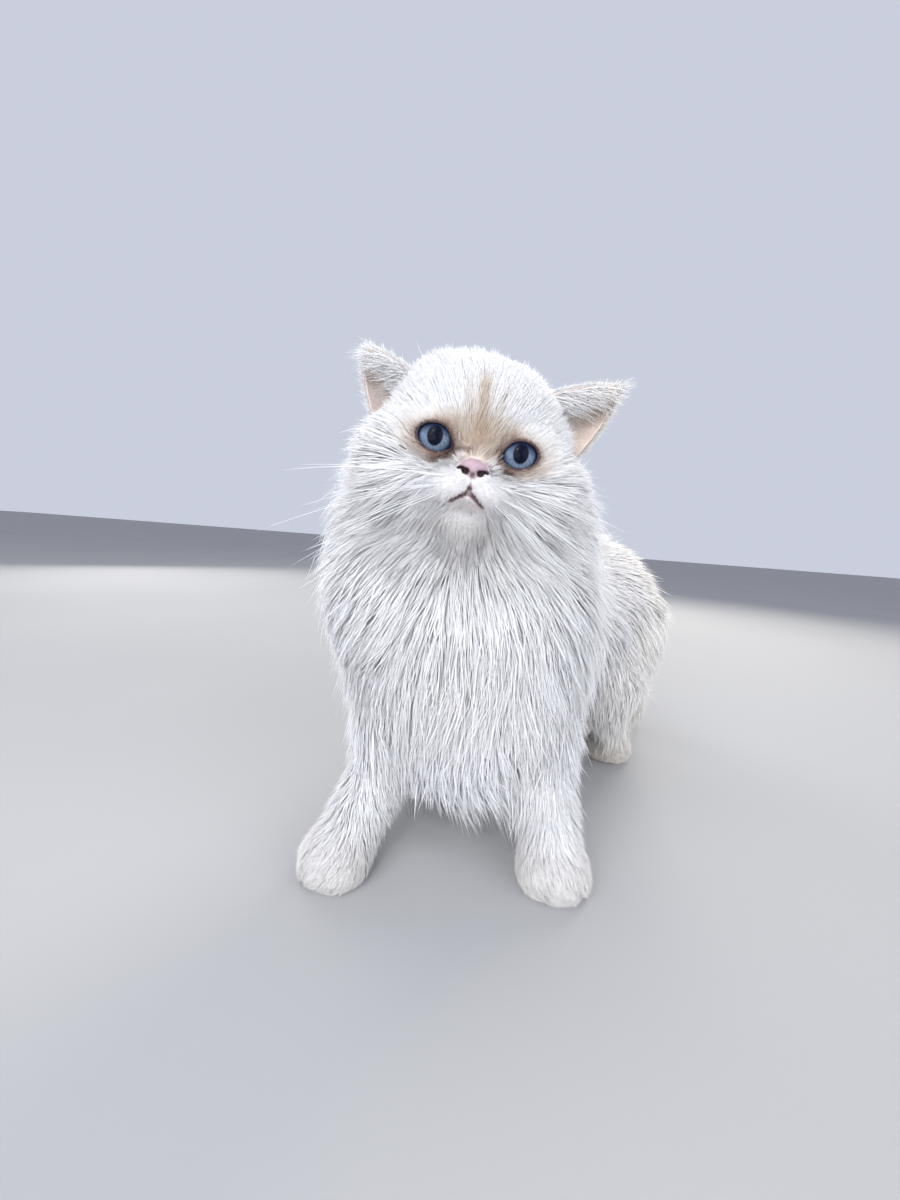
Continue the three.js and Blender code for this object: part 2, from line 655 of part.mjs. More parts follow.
// The way that the hair lies: away from the face, back and down the flanks, down the legs
const REARWARD = vec([0, 0, 0]).sub(inTrunk(0, -1, 0)).add(inTrunk(0, 0, 0)).normalize();
const FACE = inHead(0, 6, -18);
const awayFromFace = (p) => p.clone().sub(FACE).normalize();
const lieOnTrunk = (p) => {
  const rear = THREE.MathUtils.smoothstep(p.y, 300, 380);
  const high = THREE.MathUtils.smoothstep(p.z, 150, 235);
  const way = REARWARD.clone().multiplyScalar(0.25 + 0.75 * rear);
  return way.addScaledVector(DOWN, 1 - 0.75 * high * rear);
};
const lieOnNeck = (p) => awayFromFace(p).addScaledVector(DOWN, 0.55);
const lieOnHind = () => DOWN.clone().addScaledVector(REARWARD, 0.35);
const lieOnFore = () => DOWN.clone().addScaledVector(REARWARD, 0.15);
const lieOnTail = (p) => {
  const near = tailLine.reduce((best, q) => (p.distanceTo(q) < p.distanceTo(best) ? q : best));
  const at = tailLine.indexOf(near);
  const ahead = tailLine[Math.min(at + 1, 4)].clone().sub(tailLine[Math.max(at - 1, 0)]);
  return ahead.normalize().addScaledVector(DOWN, 0.25);
};

// Each piece's locks, those that lie deepest first
const tailPart = (from, to) => tailLine.slice(from, to + 1);
tiers("tail_tip", tailPart(3, 4), tailForms, {
  count: 2, around: 5, from: -0.1, to: 0.5, lie: lieOnTail,
  size: { length: 62, width: 32, hang: 0.3 },
});
tiers("tail_middle", tailPart(2, 3), tailForms, {
  count: 2, around: 5, from: 0.1, to: 0.7, lie: lieOnTail,
  size: { length: 58, width: 32, hang: 0.3 },
});
tiers("tail_base", tailPart(0, 2), tailForms, {
  count: 2, around: 6, from: 0.5, to: 0.78, lie: lieOnTail,
  size: { length: 54, width: 30, hang: 0.2 },
});
HIND.forEach((hind, i) => {
  const name = ["hindleg_right", "hindleg_left"][i];
  tiers(name, [hind.hip, hind.hock], hindlegForms(hind), {
    count: 3, around: 5, from: 0.15, to: 0.85, up: AXIS_Y, lie: lieOnHind,
    size: { length: 66, width: 44, hang: 0.25 },
  });
});
for (const [side, fore] of Object.entries(FORE)) {
  tiers("foreleg_" + side, [fore.shoulder, fore.elbow, fore.wrist], forelegForms(fore), {
    count: 2, around: 7, from: 0.45, to: 0.7, up: AXIS_Y, lie: lieOnFore,
    size: { length: 50, width: 26, hang: 0.35, thick: 4.5 },
    keep: (root, out) => out.y > -0.3,
  });
}
tiers("torso", trunkLine, trunkForms, {
  count: 7, around: 9, from: -0.25, to: 1.3, lie: lieOnTrunk,
  size: { length: 92, width: 50, hang: 0.12 },
});
tiers("neck", neckLine, neckForms, {
  count: 4, around: 10, from: -0.05, to: 0.8, up: AXIS_Y, lie: lieOnNeck,
  size: { length: 76, width: 44, hang: 0.12 },
});
// The head's own long hair grows on the cheeks
const HEAD_BACK = HEAD.clone().invert();
tiers("head", [inHead(0, 26, -12), inHead(0, 56, -12)], headForms, {
  count: 3, around: 14, from: 0, to: 1, lie: awayFromFace,
  size: { length: 44, width: 27, hang: 0.1, thick: 4.5 },
  keep: (root) => {
    const p = root.clone().applyMatrix4(HEAD_BACK);
    return p.z < 2 && p.z > -34 && Math.abs(p.x) > 30;
  },
});

for (const [name, parts] of Object.entries(grownParts)) {
  if (parts.length > 1) pieces[name] = settled(wasm.Manifold.union(parts));
}

// Finishes
const COAT_WHITE = { color: 0xe9e4dc, roughness: 0.9, metalness: 0 };
const EYE_BLUE = { color: 0x7f9fc4, roughness: 0.15, metalness: 0 };
const finishOf = (name) => (name.startsWith("eye") ? EYE_BLUE : COAT_WHITE);

const cat = new THREE.Group();
for (const [name, piece] of Object.entries(pieces)) {
  const { vertProperties, triVerts } = piece.getMesh();
  const geometry = new THREE.BufferGeometry();
  geometry.setAttribute("position", new THREE.BufferAttribute(vertProperties, 3));
  geometry.setIndex(new THREE.BufferAttribute(triVerts, 1));
  geometry.computeVertexNormals();
  const mesh = new THREE.Mesh(geometry, new THREE.MeshStandardMaterial(finishOf(name)));
  mesh.name = name;
  cat.add(mesh);
}
const box = new THREE.Box3().setFromObject(cat);
const middle = box.getCenter(new THREE.Vector3());
cat.position.set(-middle.x, -middle.y, -box.min.z);

export default cat;
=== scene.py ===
import math

import bpy
import numpy as np
from mathutils import Matrix, Vector, kdtree


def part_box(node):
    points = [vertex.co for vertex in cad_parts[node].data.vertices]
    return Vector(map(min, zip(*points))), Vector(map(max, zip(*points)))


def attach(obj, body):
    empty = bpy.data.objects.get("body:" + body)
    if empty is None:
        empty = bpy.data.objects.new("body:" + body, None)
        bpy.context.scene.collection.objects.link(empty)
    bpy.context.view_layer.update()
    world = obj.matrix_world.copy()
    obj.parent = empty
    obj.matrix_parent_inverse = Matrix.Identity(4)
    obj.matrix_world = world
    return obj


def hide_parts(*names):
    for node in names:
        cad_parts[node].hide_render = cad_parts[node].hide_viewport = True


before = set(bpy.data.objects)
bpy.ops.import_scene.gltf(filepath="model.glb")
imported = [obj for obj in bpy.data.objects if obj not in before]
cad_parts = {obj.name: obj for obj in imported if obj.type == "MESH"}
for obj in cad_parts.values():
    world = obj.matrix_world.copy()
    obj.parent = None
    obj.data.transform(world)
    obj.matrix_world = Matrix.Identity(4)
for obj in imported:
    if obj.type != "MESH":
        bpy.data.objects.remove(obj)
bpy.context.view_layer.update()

# A persian cat, standing. Lengths are millimetres in the frame of the forms, with x to the
# cat's left, y to its rear and z up. place() turns them into metres in the frame of the solids.
BLEND, FACE_BLEND, PAW_BLEND = 16, 5, 2.2  # how far forms of one kind run into each other
PAWS_TO_LEGS, FACE_TO_SKULL, LIDS_TO_FACE, HEAD_TO_NECK = 8, 7, 2, 9
NEAR_FORM = 2.2 * BLEND  # a form does nothing further from its box than this
HEAD_AT = (8.3, 231, 277.5)
EYE_RADIUS = 12
EYE_APART = 44.5
EYE_BACK = 12
EYE_SOLID_AHEAD = 0.2  # the middle of the solid eye's box, ahead of the eyeball's
LID = 1.5
LID_WIDE, LID_UP, LID_DOWN = 8.9, 5.9, 7.0
LID_CORNER, LID_DROP, LID_NARROWING, LID_SLANT = 3, 0.05, 0.006, 0.06
HIPS_AT = (137, 466, 0)
BODY_YAW = 39


def turned(at, yaw=0, pitch=0, roll=0):
    z, x, y = (math.radians(a) for a in (yaw, pitch, roll))
    turn = Matrix.Rotation(z, 4, "Z") @ Matrix.Rotation(x, 4, "X") @ Matrix.Rotation(y, 4, "Y")
    return np.array(Matrix.Translation(at) @ turn)


WORLD = np.eye(4)
HEAD = turned(HEAD_AT, yaw=2, pitch=-2, roll=7.3)
TRUNK = turned(HIPS_AT, yaw=-BODY_YAW)
HEAD_BACK = np.linalg.inv(HEAD)


def moved(matrix, p):
    return np.asarray(p, float) @ matrix[:3, :3].T + matrix[:3, 3]


def in_head(x, y, z):
    return moved(HEAD, (x, y, z))


def in_trunk(left, rear, up):
    return moved(TRUNK, (left, rear, up))


def unit(v):
    return v / np.maximum(np.linalg.norm(v, axis=-1, keepdims=True), 1e-9)


def smooth(x, low, high):
    t = np.clip((x - low) / (high - low), 0, 1)
    return t * t * (3 - 2 * t)


# Where the frame's origin lies, from the solid of the right eye
low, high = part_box("eye_right")
MM = 1000
SHIFT = (MM * (np.array(low) + np.array(high)) / 2
         - in_head(-EYE_APART / 2, EYE_BACK - EYE_SOLID_AHEAD, 0))


def place(p):
    return (np.asarray(p) + SHIFT) / MM


# Forms: the body under the coat. An egg has its frame, centre and radii, and a bone its two ends
# and the radius at each. The last size of both is the depth of the coat over it.
class Egg:
    def __init__(self, base, centre, radii, coat, yaw=0):
        self.matrix = base @ turned(centre, yaw=yaw)
        self.back = np.linalg.inv(self.matrix)
        self.radii = np.array(radii, float)
        self.coat = coat
        self.middle = self.matrix[:3, 3]
        self.extent = np.full(3, max(radii) + coat)

    def __call__(self, p):
        q = moved(self.back, p) / self.radii
        near = np.linalg.norm(q, axis=-1)
        slope = np.linalg.norm(q / self.radii, axis=-1)
        return near * (near - 1) / np.maximum(slope, 1e-6)


class Bone:
    def __init__(self, start, end, from_radius, to_radius, coat):
        self.start, self.run = np.asarray(start, float), np.asarray(end, float) - start
        self.radii = (from_radius, to_radius)
        self.coat = coat
        self.middle = self.start + self.run / 2
        self.extent = np.abs(self.run) / 2 + max(self.radii) + coat

    def __call__(self, p):
        q = p - self.start
        t = np.clip(q @ self.run / (self.run @ self.run), 0, 1)
        a, b = self.radii
        return np.linalg.norm(q - t[..., None] * self.run, axis=-1) - (a + (b - a) * t)


def soften(a, b, blend):
    """The nearer of two distances, with the crease between them rounded off."""
    near = np.maximum(blend - np.abs(a - b), 0) / blend
    return np.minimum(a, b) - near * near * blend / 4


def cut(a, b, blend):
    return -soften(-a, b, blend)


FAR = 200.0


def union(forms, p, blend, height):
    """Distance from the forms' surface, or from their coat at a height from 0 to 1."""
    d = np.full(p.shape[:-1], FAR)
    for form in forms:
        near = np.all(np.abs(p - form.middle) < form.extent + NEAR_FORM, axis=-1)
        if near.any():
            h = height[near] if isinstance(height, np.ndarray) else height
            d[near] = soften(d[near], form(p[near]) - form.coat * h, blend)
    return d


def sides(make):
    return [make(-1), make(1)]


TRUNK_FORMS = [
    Egg(TRUNK, (0, 12, 164), (52, 58, 54), 26),
    Egg(TRUNK, (0, -28, 178), (50, 52, 46), 25),
    Egg(TRUNK, (0, -72, 160), (50, 64, 52), 26),
    Egg(TRUNK, (0, -130, 160), (54, 68, 60), 26),
    Egg(TRUNK, (2, -178, 184), (44, 44, 46), 26),
    Egg(WORLD, (14, 318, 142), (64, 44, 56), 27, yaw=-8),
    Egg(WORLD, (22, 310, 104), (44, 30, 32), 30),
]
NECK_FORMS = [
    Bone((26, 332, 196), in_head(2, 62, -6), 44, 38, 26),
    Egg(WORLD, (4, 304, 190), (71, 42, 50), 28),
    Egg(WORLD, (5, 318, 236), (74, 34, 44), 27),
]
SKULL_FORMS = [
    Egg(HEAD, (0, 50, 15), (48, 44, 40), 6),
    Egg(HEAD, (0, 32, 16), (36, 26, 24), 3),
    *sides(lambda s: Egg(HEAD, (s * 34, 36, -14), (25, 26, 24), 15)),
    Egg(HEAD, (0, 32, -32), (26, 24, 17), 9),
]
FACE_FORMS = [
    *sides(lambda s: Egg(HEAD, (s * 18, 21, 15), (14, 11, 9), 1)),
    *sides(lambda s: Egg(HEAD, (s * 9.5, 4, -24), (12.5, 10.5, 9), 0.5)),
    *sides(lambda s: Egg(HEAD, (s * 24, 18, -17), (14, 12, 10), 1)),
    Egg(HEAD, (0, 10, -3), (9, 9, 12), 0.5),
    Egg(HEAD, (0, 0, -13), (8.5, 6.5, 5.5), 0),
    Egg(HEAD, (0, 8, -40), (12.5, 10, 10.5), 1),
]
LID_FORMS = sides(lambda s: Egg(
    HEAD, (s * EYE_APART / 2, EYE_BACK, 0), [EYE_RADIUS + LID] * 3, 0))
FORE = {
    "right": dict(shoulder=(-16, 322, 132), elbow=(-30, 312, 92), wrist=(-50, 291, 38),
                  paw=(-63, 272), toward=-42, feather=(-20, 320, 78)),
    "left": dict(shoulder=(58, 324, 132), elbow=(68, 316, 92), wrist=(82, 293, 38),
                 paw=(84, 276), toward=8, feather=(72, 322, 72)),
}


TOES = ((-1.5, 5), (-0.5, 10), (0.5, 10), (1.5, 5))  # across in toe widths, and ahead
TOE_HALF, TOE_LONG, TOE_HIGH, TOE_COAT, TOE_FAN = 0.62, 14, 10, 3, 7


def toe_forms(at, toward, wide):
    forms = []
    for across, ahead in TOES:
        a = math.radians(toward)
        x = at[0] + across * wide * math.cos(a) + ahead * math.sin(a)
        y = at[1] + across * wide * math.sin(a) - ahead * math.cos(a)
        forms.append(Egg(WORLD, (x, y, 9), (wide * TOE_HALF, TOE_LONG, TOE_HIGH), TOE_COAT,
                         yaw=toward - across * TOE_FAN))
    return forms


def foreleg_forms(fore):
    return [
        Egg(WORLD, fore["feather"], (15, 12, 24), 22),
        Bone(fore["shoulder"], fore["elbow"], 30, 21, 15),
        Bone(fore["elbow"], fore["wrist"], 19, 13, 9),
        Bone(fore["wrist"], (*fore["paw"], 16), 13, 15, 6),
    ]


def forepaw_forms(fore):
    palm = Egg(WORLD, (*fore["paw"], 13), (20, 22, 14), 4, yaw=fore["toward"])
    return [palm, *toe_forms(fore["paw"], fore["toward"], 10.5)]


def hind(side):
    return dict(hip=in_trunk(side * 32, 6, 148), knee=in_trunk(side * 41, -26, 108),
                hock=in_trunk(side * 38, 54, 64), paw=in_trunk(side * 38, 38, 0))


HIND = {"right": hind(-1), "left": hind(1)}


def hindleg_forms(leg):
    return [
        Bone(leg["hip"], leg["knee"], 44, 28, 17),
        Bone(leg["knee"], leg["hock"], 26, 15, 13),
        Bone(leg["hip"] + 0.35 * (leg["hock"] - leg["hip"]), leg["hock"], 30, 15, 12),
    ]


def hindpaw_forms(leg):
    x, y, _ = leg["paw"]
    return [
        Bone(leg["hock"], (x, y, 18), 13, 12, 7),
        Egg(WORLD, (x, y, 12), (19, 24, 13), 4, yaw=-BODY_YAW),
        *toe_forms((x, y), -BODY_YAW, 9.5),
    ]


TAIL_LINE = [in_trunk(*p) for p in
             ((0, 52, 176), (0, 84, 168), (2, 112, 138), (6, 128, 100), (12, 136, 66))]
TAIL_RADII = (12, 10, 8, 6, 4)
TAIL_COAT = (20, 25, 27, 24)
TAIL_FORMS = [Bone(*part) for part in
              zip(TAIL_LINE, TAIL_LINE[1:], TAIL_RADII, TAIL_RADII[1:], TAIL_COAT)]
BODY_GROUPS = {"trunk": TRUNK_FORMS, "neck": NECK_FORMS, "tail": TAIL_FORMS}
PAW_GROUPS = {}
for side, fore in FORE.items():
    BODY_GROUPS["foreleg_" + side] = foreleg_forms(fore)
    PAW_GROUPS["forepaw_" + side] = forepaw_forms(fore)
for side, leg in HIND.items():
    BODY_GROUPS["hindleg_" + side] = hindleg_forms(leg)
    PAW_GROUPS["hindpaw_" + side] = hindpaw_forms(leg)
BODY_FORMS = [form for forms in BODY_GROUPS.values() for form in forms]
PAW_FORMS = [form for forms in PAW_GROUPS.values() for form in forms]


# The face's small forms, in the head's own frame: x to the cat's left, y back, z up
MOUTH = {
    "philtrum": ([(0, -6.4, -16.5), (0, -5.4, -20.5), (0, -4, -25)], 0.7),
    "right": ([(0, -4, -24.5), (-5, -4.6, -28.5), (-10.5, -2.4, -33.4), (-14, 2, -36)], 1.0),
    "left": ([(0, -4, -24.5), (5, -4.6, -28.8), (11.4, -2.2, -34), (15, 3, -37)], 1.0),
}
LOWER_LIP = [(-8, -1.6, -33.6), (-4, -3, -32.2), (0.4, -3.4, -31.2), (5, -3, -32.4), (9, -1.4, -34)]


def line_distance(q, points):
    """Distance from a line of straight runs between points."""
    d = np.full(q.shape[:-1], FAR)
    for a, b in zip(points, points[1:]):
        a, run = np.array(a, float), np.array(b, float) - a
        t = np.clip((q - a) @ run / (run @ run), 0, 1)
        d = np.minimum(d, np.linalg.norm(q - a - t[..., None] * run, axis=-1))
    return d


def lid_edge(q, side):
    """Distance from the edge of the opening between the lids, below 0 inside it."""
    x = (q[..., 0] - side * EYE_APART / 2) * side
    # x runs outwards from the nose, and the inner corner is drawn down into a point
    inner = np.maximum(-x - LID_CORNER, 0)
    z = q[..., 2] + LID_DROP * inner ** 2 - LID_SLANT * x
    half = np.where(z > 0, LID_UP, LID_DOWN) * (1 - LID_NARROWING * inner ** 2)
    near = np.sqrt((x / LID_WIDE) ** 2 + (z / half) ** 2 + 1e-6)
    return (near - 1) * LID_DOWN


def from_eye(q, side, back=EYE_BACK):
    """Places seen from the middle of an eyeball, or from a place before it."""
    return q - (side * EYE_APART / 2, back, 0)


def eye_distance(q, back=EYE_BACK):
    return np.min([np.linalg.norm(from_eye(q, s, back), axis=-1) for s in (-1, 1)], axis=0)


def oval(q, centre, radii):
    """Distance from a centre in radii: 1 on the surface of the oval body."""
    return np.linalg.norm((q - centre) / radii, axis=-1)


EYE_GAP = 0.15
SMILE_BLEND, LIP_BLEND, LIP_SUNK = 1.2, 3, 0.4
FACE_WIDE, FACE_DEEP, FACE_MIDDLE, FACE_TALL = 44, 26, -10, 40


def face_details(d, q):
    """The openings, folds and lips, cut into or added to the head's distance d."""
    for side in (-1, 1):
        ball = np.linalg.norm(from_eye(q, side), axis=-1)
        opening = np.maximum(lid_edge(q, side), q[..., 1] - EYE_BACK)
        d = cut(d, opening, 1.0)
        d = np.maximum(d, EYE_RADIUS + EYE_GAP - ball)
        nostril = oval(q, (side * 3.9, -5.4, -14.9), (1.9, 3.2, 1.5))
        d = cut(d, (nostril - 1) * 1.6, 0.8)
        slit = oval(q, (side * 7.0, -3.4, -13.6), (2.9, 2.6, 0.7))
        d = cut(d, (slit - 1) * 0.9, 0.5)
    d = soften(d, line_distance(q, LOWER_LIP) + LIP_SUNK, LIP_BLEND)
    for points, radius in MOUTH.values():
        d = cut(d, line_distance(q, points) - radius, SMILE_BLEND)
    return d


def head_distance(p, height):
    skull = union(SKULL_FORMS, p, BLEND, height)
    face = union(FACE_FORMS, p, FACE_BLEND, height)
    lids = union(LID_FORMS, p, FACE_BLEND, 0)
    return soften(soften(skull, face, FACE_TO_SKULL), lids, LIDS_TO_FACE)


def whole(p, height=0.0, details=False):
    """Distance from the skin, or from the coat at a height from 0 to 1 at its tips."""
    d = union(BODY_FORMS, p, BLEND, height)
    d = soften(d, union(PAW_FORMS, p, PAW_BLEND, height), PAWS_TO_LEGS)
    d = soften(d, head_distance(p, height), HEAD_TO_NECK)
    if details:
        q = moved(HEAD_BACK, p)
        near = np.abs(q[..., 2] - FACE_MIDDLE) < FACE_TALL
        near &= (np.abs(q[..., 0]) < FACE_WIDE) & (q[..., 1] < FACE_DEEP)
        d[near] = face_details(d[near], q[near])
    return np.maximum(d, -p[..., 2])


def gradient(p, height=0.0, step=1.0, details=False):
    g = np.empty(p.shape)
    for axis in range(3):
        ahead = np.zeros(3)
        ahead[axis] = step
        g[..., axis] = whole(p + ahead, height, details) - whole(p - ahead, height, details)
    return g / (2 * step)


# The skin: a net over the cells that the surface crosses, finest at the face
COARSE, FINE = 3.4, 1.05
SLAB = 12  # how many rows of the grid are worked out at once


def spaced(low, high, fine_low, fine_high):
    return np.concatenate([np.arange(low, fine_low, COARSE), np.arange(fine_low, fine_high, FINE),
                           np.arange(fine_high, high + COARSE, COARSE)])


def surface_net(values, axes):
    """A point in each cell that the surface crosses, and a quad round each crossed edge."""
    inside = values < 0
    cells = [inside[i:i - 1 or None, j:j - 1 or None, k:k - 1 or None]
             for i in (0, 1) for j in (0, 1) for k in (0, 1)]
    count = sum(c.astype(np.int8) for c in cells)
    active = np.argwhere((count > 0) & (count < 8))
    index = np.full(count.shape, -1, np.int64)
    index[tuple(active.T)] = np.arange(len(active))
    corner = {(i, j, k): values[active[:, 0] + i, active[:, 1] + j, active[:, 2] + k]
              for i in (0, 1) for j in (0, 1) for k in (0, 1)}
    total = np.zeros((len(active), 3))
    found = np.zeros(len(active))
    for a in corner:
        for axis in range(3):
            if a[axis]:
                continue
            b = tuple(1 if n == axis else v for n, v in enumerate(a))
            va, vb = corner[a], corner[b]
            crossed = (va < 0) != (vb < 0)
            t = np.where(crossed, va / np.where(crossed, va - vb, 1), 0)
            at = np.tile(np.array(a, float), (len(active), 1))
            at[:, axis] = t
            total += at * crossed[:, None]
            found += crossed
    points = active + total / found[:, None]
    points = np.stack([np.interp(points[:, n], np.arange(len(axes[n])), axes[n])
                       for n in range(3)], axis=1)
    quads = []
    for axis in range(3):
        one, two = (axis + 1) % 3, (axis + 2) % 3
        at = np.argwhere(np.diff(inside, axis=axis))
        at = at[(at[:, one] > 0) & (at[:, two] > 0)]
        at = at[(at[:, one] < count.shape[one]) & (at[:, two] < count.shape[two])]
        out = ~inside[tuple((at + np.eye(3, dtype=int)[axis]).T)]
        ring = []
        for a, b in ((-1, -1), (0, -1), (0, 0), (-1, 0)):
            step = np.zeros(3, int)
            step[one], step[two] = a, b
            ring.append(index[tuple((at + step).T)])
        ring = np.stack(ring, axis=1)
        ring[~out] = ring[~out][:, ::-1]
        quads.append(ring)
    return points, np.concatenate(quads)


def add_object(name, data):
    thing = bpy.data.objects.new(name, data)
    bpy.context.scene.collection.objects.link(thing)
    return thing


def mesh_object(name, points, faces):
    """An object from points in millimetres and rows of corner numbers."""
    mesh = bpy.data.meshes.new(name)
    faces = np.asarray(faces)
    wide = faces.shape[1]
    mesh.vertices.add(len(points))
    mesh.vertices.foreach_set("co", place(points).astype(np.float32).ravel())
    mesh.loops.add(faces.size)
    mesh.loops.foreach_set("vertex_index", faces.astype(np.int32).ravel())
    mesh.polygons.add(len(faces))
    mesh.polygons.foreach_set("loop_start", np.arange(0, faces.size, wide, dtype=np.int32))
    mesh.polygons.foreach_set("use_smooth", np.ones(len(faces), bool))
    mesh.update(calc_edges=True)
    return add_object(name, mesh)


def set_colours(thing, colours):
    layer = thing.data.color_attributes.new("tint", "FLOAT_COLOR", "POINT")
    rgba = np.ones((len(colours), 4), np.float32)
    rgba[:, :3] = colours
    layer.data.foreach_set("color", rgba.ravel())


axes = (spaced(-100, 262, -42, 58), spaced(216, 600, 221, 258), spaced(-4, 345, 228, 304))
grid = np.stack(np.meshgrid(*axes, indexing="ij"), axis=-1)
values = np.empty(grid.shape[:3])
for i in range(0, len(axes[0]), SLAB):
    values[i:i + SLAB] = whole(grid[i:i + SLAB], details=True)
skin_points, skin_faces = surface_net(values, axes)
# The net's points are drawn onto the surface, at most 1 mm at a time
for _ in range(2):
    d = whole(skin_points, details=True)
    slope = gradient(skin_points, step=0.4, details=True)
    steepness = np.maximum((slope ** 2).sum(axis=1), 0.3)
    skin_points -= slope * (np.clip(d, -1, 1) / steepness)[:, None]


# Markings, shared by skin and coat. Colours are linear red, green, blue.
COAT_WHITE = np.array((0.85, 0.85, 0.86))
CREAM = np.array((0.83, 0.72, 0.55))
TAN = np.array((0.36, 0.235, 0.14))
TEAR_BROWN = np.array((0.13, 0.055, 0.035))
CHIN_GREY = np.array((0.50, 0.46, 0.41))
RIM = np.array((0.03, 0.012, 0.014))
LIP_PINK_AND_SHADE = np.array((0.40, 0.345, 0.325))
MOUTH_DARK = np.array((0.065, 0.018, 0.024))
NOSE_PINK = np.array((0.37, 0.265, 0.295))
EAR_PINK = np.array((0.55, 0.43, 0.36))
SKIN_PALE = np.array((0.70, 0.58, 0.52))
FLAT = (1, 0, 1)
STRIPES = [  # lines on the face seen from the front, width, share of the stain, stain
    ([(0.3, 0, 4), (0, 0, 10), (-1.5, 0, 22), (-2.5, 0, 31)], 3.0, 0.6, TAN),
    ([(-5, 0, 10), (-8, 0, 20), (-10, 0, 28)], 2.6, 0.2, TAN),
    ([(5, 0, 10), (7, 0, 20), (9, 0, 28)], 2.6, 0.14, TAN),
    ([(-15, 0, -2.4), (-11.5, 0, -4.4), (-9, 0, -4.6)], 3.0, 1.0, TEAR_BROWN),
    ([(-12.5, 0, -3.6), (-7, 0, -3.8), (-2, 0, -3)], 1.7, 1.0, TEAR_BROWN),
    ([(-21, 0, -10.6), (-14, 0, -8.8), (-8, 0, -6.8)], 1.8, 0.8, TEAR_BROWN),
    ([(12.5, 0, -0.5), (10.2, 0, -2.5), (11.5, 0, -5), (14, 0, -7.4), (19, 0, -10.2)], 2.4, 1.0,
     TEAR_BROWN),
]


def mixed(colours, other, share):
    return colours + (other - colours) * share[..., None]


def stained(colours, other, share):
    """Colours with a share of a stain, which deepens them instead of greying them."""
    share = share[..., None]
    return colours ** (1 - share) * other ** share


SPOTS = [  # how it is mixed, colour, share, centre in the frame of the head, radii
    (mixed, CREAM, 0.45, (66, 46, 36), (16, 30, 26)),
    (stained, TAN, 0.8, (0.5, 3, 3), (11.5, 16, 9.5)),
    (mixed, CREAM, 0.5, (1, -2, -6.5), (9, 8, 2.5)),
    (mixed, CHIN_GREY, 0.55, (2, 2, -44), (15, 14, 8)),
    # Painted shadow: grey at each side below the corners of the mouth
    (mixed, CHIN_GREY, 0.5, (-18, 5, -41), (9, 16, 6)),
    (mixed, CHIN_GREY, 0.5, (18, 5, -41), (9, 16, 6)),
]
STRIPES_END = 34  # how far back on the head the stripes reach
EYES_END = 17
HALO, HALO_WIDE = (0.2, 0.5), 4.5  # share at the outer corner, and what the inner one adds
LINER, LINER_WIDE = (0.75, 0.2), (1.7, 1.3)


def blob(q, centre, radii):
    """A soft spot: 1 at its centre, about a third at its radii."""
    return np.exp(-(((q - centre) / radii) ** 2).sum(axis=-1))


def ring_of_eye(edge, wide):
    return np.exp(-(edge / wide) ** 2)


def marking(p):
    """The colour of skin and coat at places on the body."""
    q = moved(HEAD_BACK, p)
    colours = np.tile(COAT_WHITE, (*p.shape[:-1], 1))
    rear = smooth(p[..., 1], 320, 460)
    colours = mixed(colours, CREAM, 0.45 * rear)
    low_legs = smooth(-p[..., 2], -60, -8)
    colours = mixed(colours, CREAM, 0.32 * low_legs)
    for mix, colour, share, centre, radii in SPOTS:
        colours = mix(colours, colour, share * blob(q, centre, radii))
    for side in (-1, 1):
        colours = stained(colours, TAN, 0.5 * blob(q, (side * 12.5, 2, 8), (5.5, 14, 6)))
        edge = np.maximum(lid_edge(q, side), 0)
        close = np.abs(q[..., 1] - 6) < 16
        inward = smooth(-from_eye(q, side)[..., 0] * side, -9, 9)
        tan = (HALO[0] + HALO[1] * inward) * ring_of_eye(edge, HALO_WIDE)
        colours = stained(colours, TAN, tan * close)
        dark = LINER[0] + LINER[1] * inward
        dark = dark * ring_of_eye(edge, LINER_WIDE[0] + LINER_WIDE[1] * inward)
        colours = stained(colours, TEAR_BROWN, dark * close)
    for points, width, share, stain in STRIPES:
        line = line_distance(q * FLAT, points) / width
        colours = stained(colours, stain, share * np.exp(-line ** 2) * (q[..., 1] < STRIPES_END))
    # The lip below the mouth: its own pinkish tone, darkened as painted shade under the overhang of the
    # muzzle
    colours = mixed(colours, LIP_PINK_AND_SHADE, 0.7 * blob(q, (0.5, -3, -31), (11, 12, 4.5)))
    patch = np.sin(p[..., 0] / 23 + 1.3) * np.sin(p[..., 1] / 31) * np.sin(p[..., 2] / 27 + 0.6)
    return mixed(colours, CREAM, 0.1 + 0.1 * patch)


def bare_masks(q):
    """Shares of the skin's bare places: lid rims, nose leather, lips, mouth line, nostrils."""
    front = q[..., 1] < EYES_END
    edge = np.minimum(lid_edge(q, -1), lid_edge(q, 1))
    # The dark rims are painted wider above the eyes, where they also hold painted shade of the upper
    # lids
    above = smooth(q[..., 2], -2, 3)
    rim = (1 - smooth(edge, 0.9 + 0.6 * above, 2.2 + 1.2 * above)) * front
    x, y, z = q[..., 0], q[..., 1], q[..., 2]
    wide = np.interp(z, (-18, -16.2, -13, -10, -8.5), (1.0, 4.2, 8.0, 6.4, 3.0))
    nose = (1 - smooth(np.abs(x) - wide, -0.5, 1.0)) * (y < 3) * smooth(z, -18.6, -17.4)
    nose = nose * (1 - smooth(z, -8.2, -6.4))
    line = np.min([line_distance(q, points) for points, _ in MOUTH.values()], axis=0)
    mouth = 1 - smooth(line, 1.0, 2.1)
    lip = 1 - smooth(line_distance(q, LOWER_LIP), 1.0, 2.6)
    holes = np.zeros(x.shape)
    for side in (-1, 1):
        nostril = oval(q, (side * 3.9, -4.6, -14.9), (2.1, 4, 1.7))
        slit = oval(q, (side * 7.0, -3.4, -13.6), (3.1, 3.2, 0.95))
        holes = np.maximum(holes, 1 - smooth(np.minimum(nostril, slit), 0.85, 1.15))
    return rim, nose, lip, mouth, holes


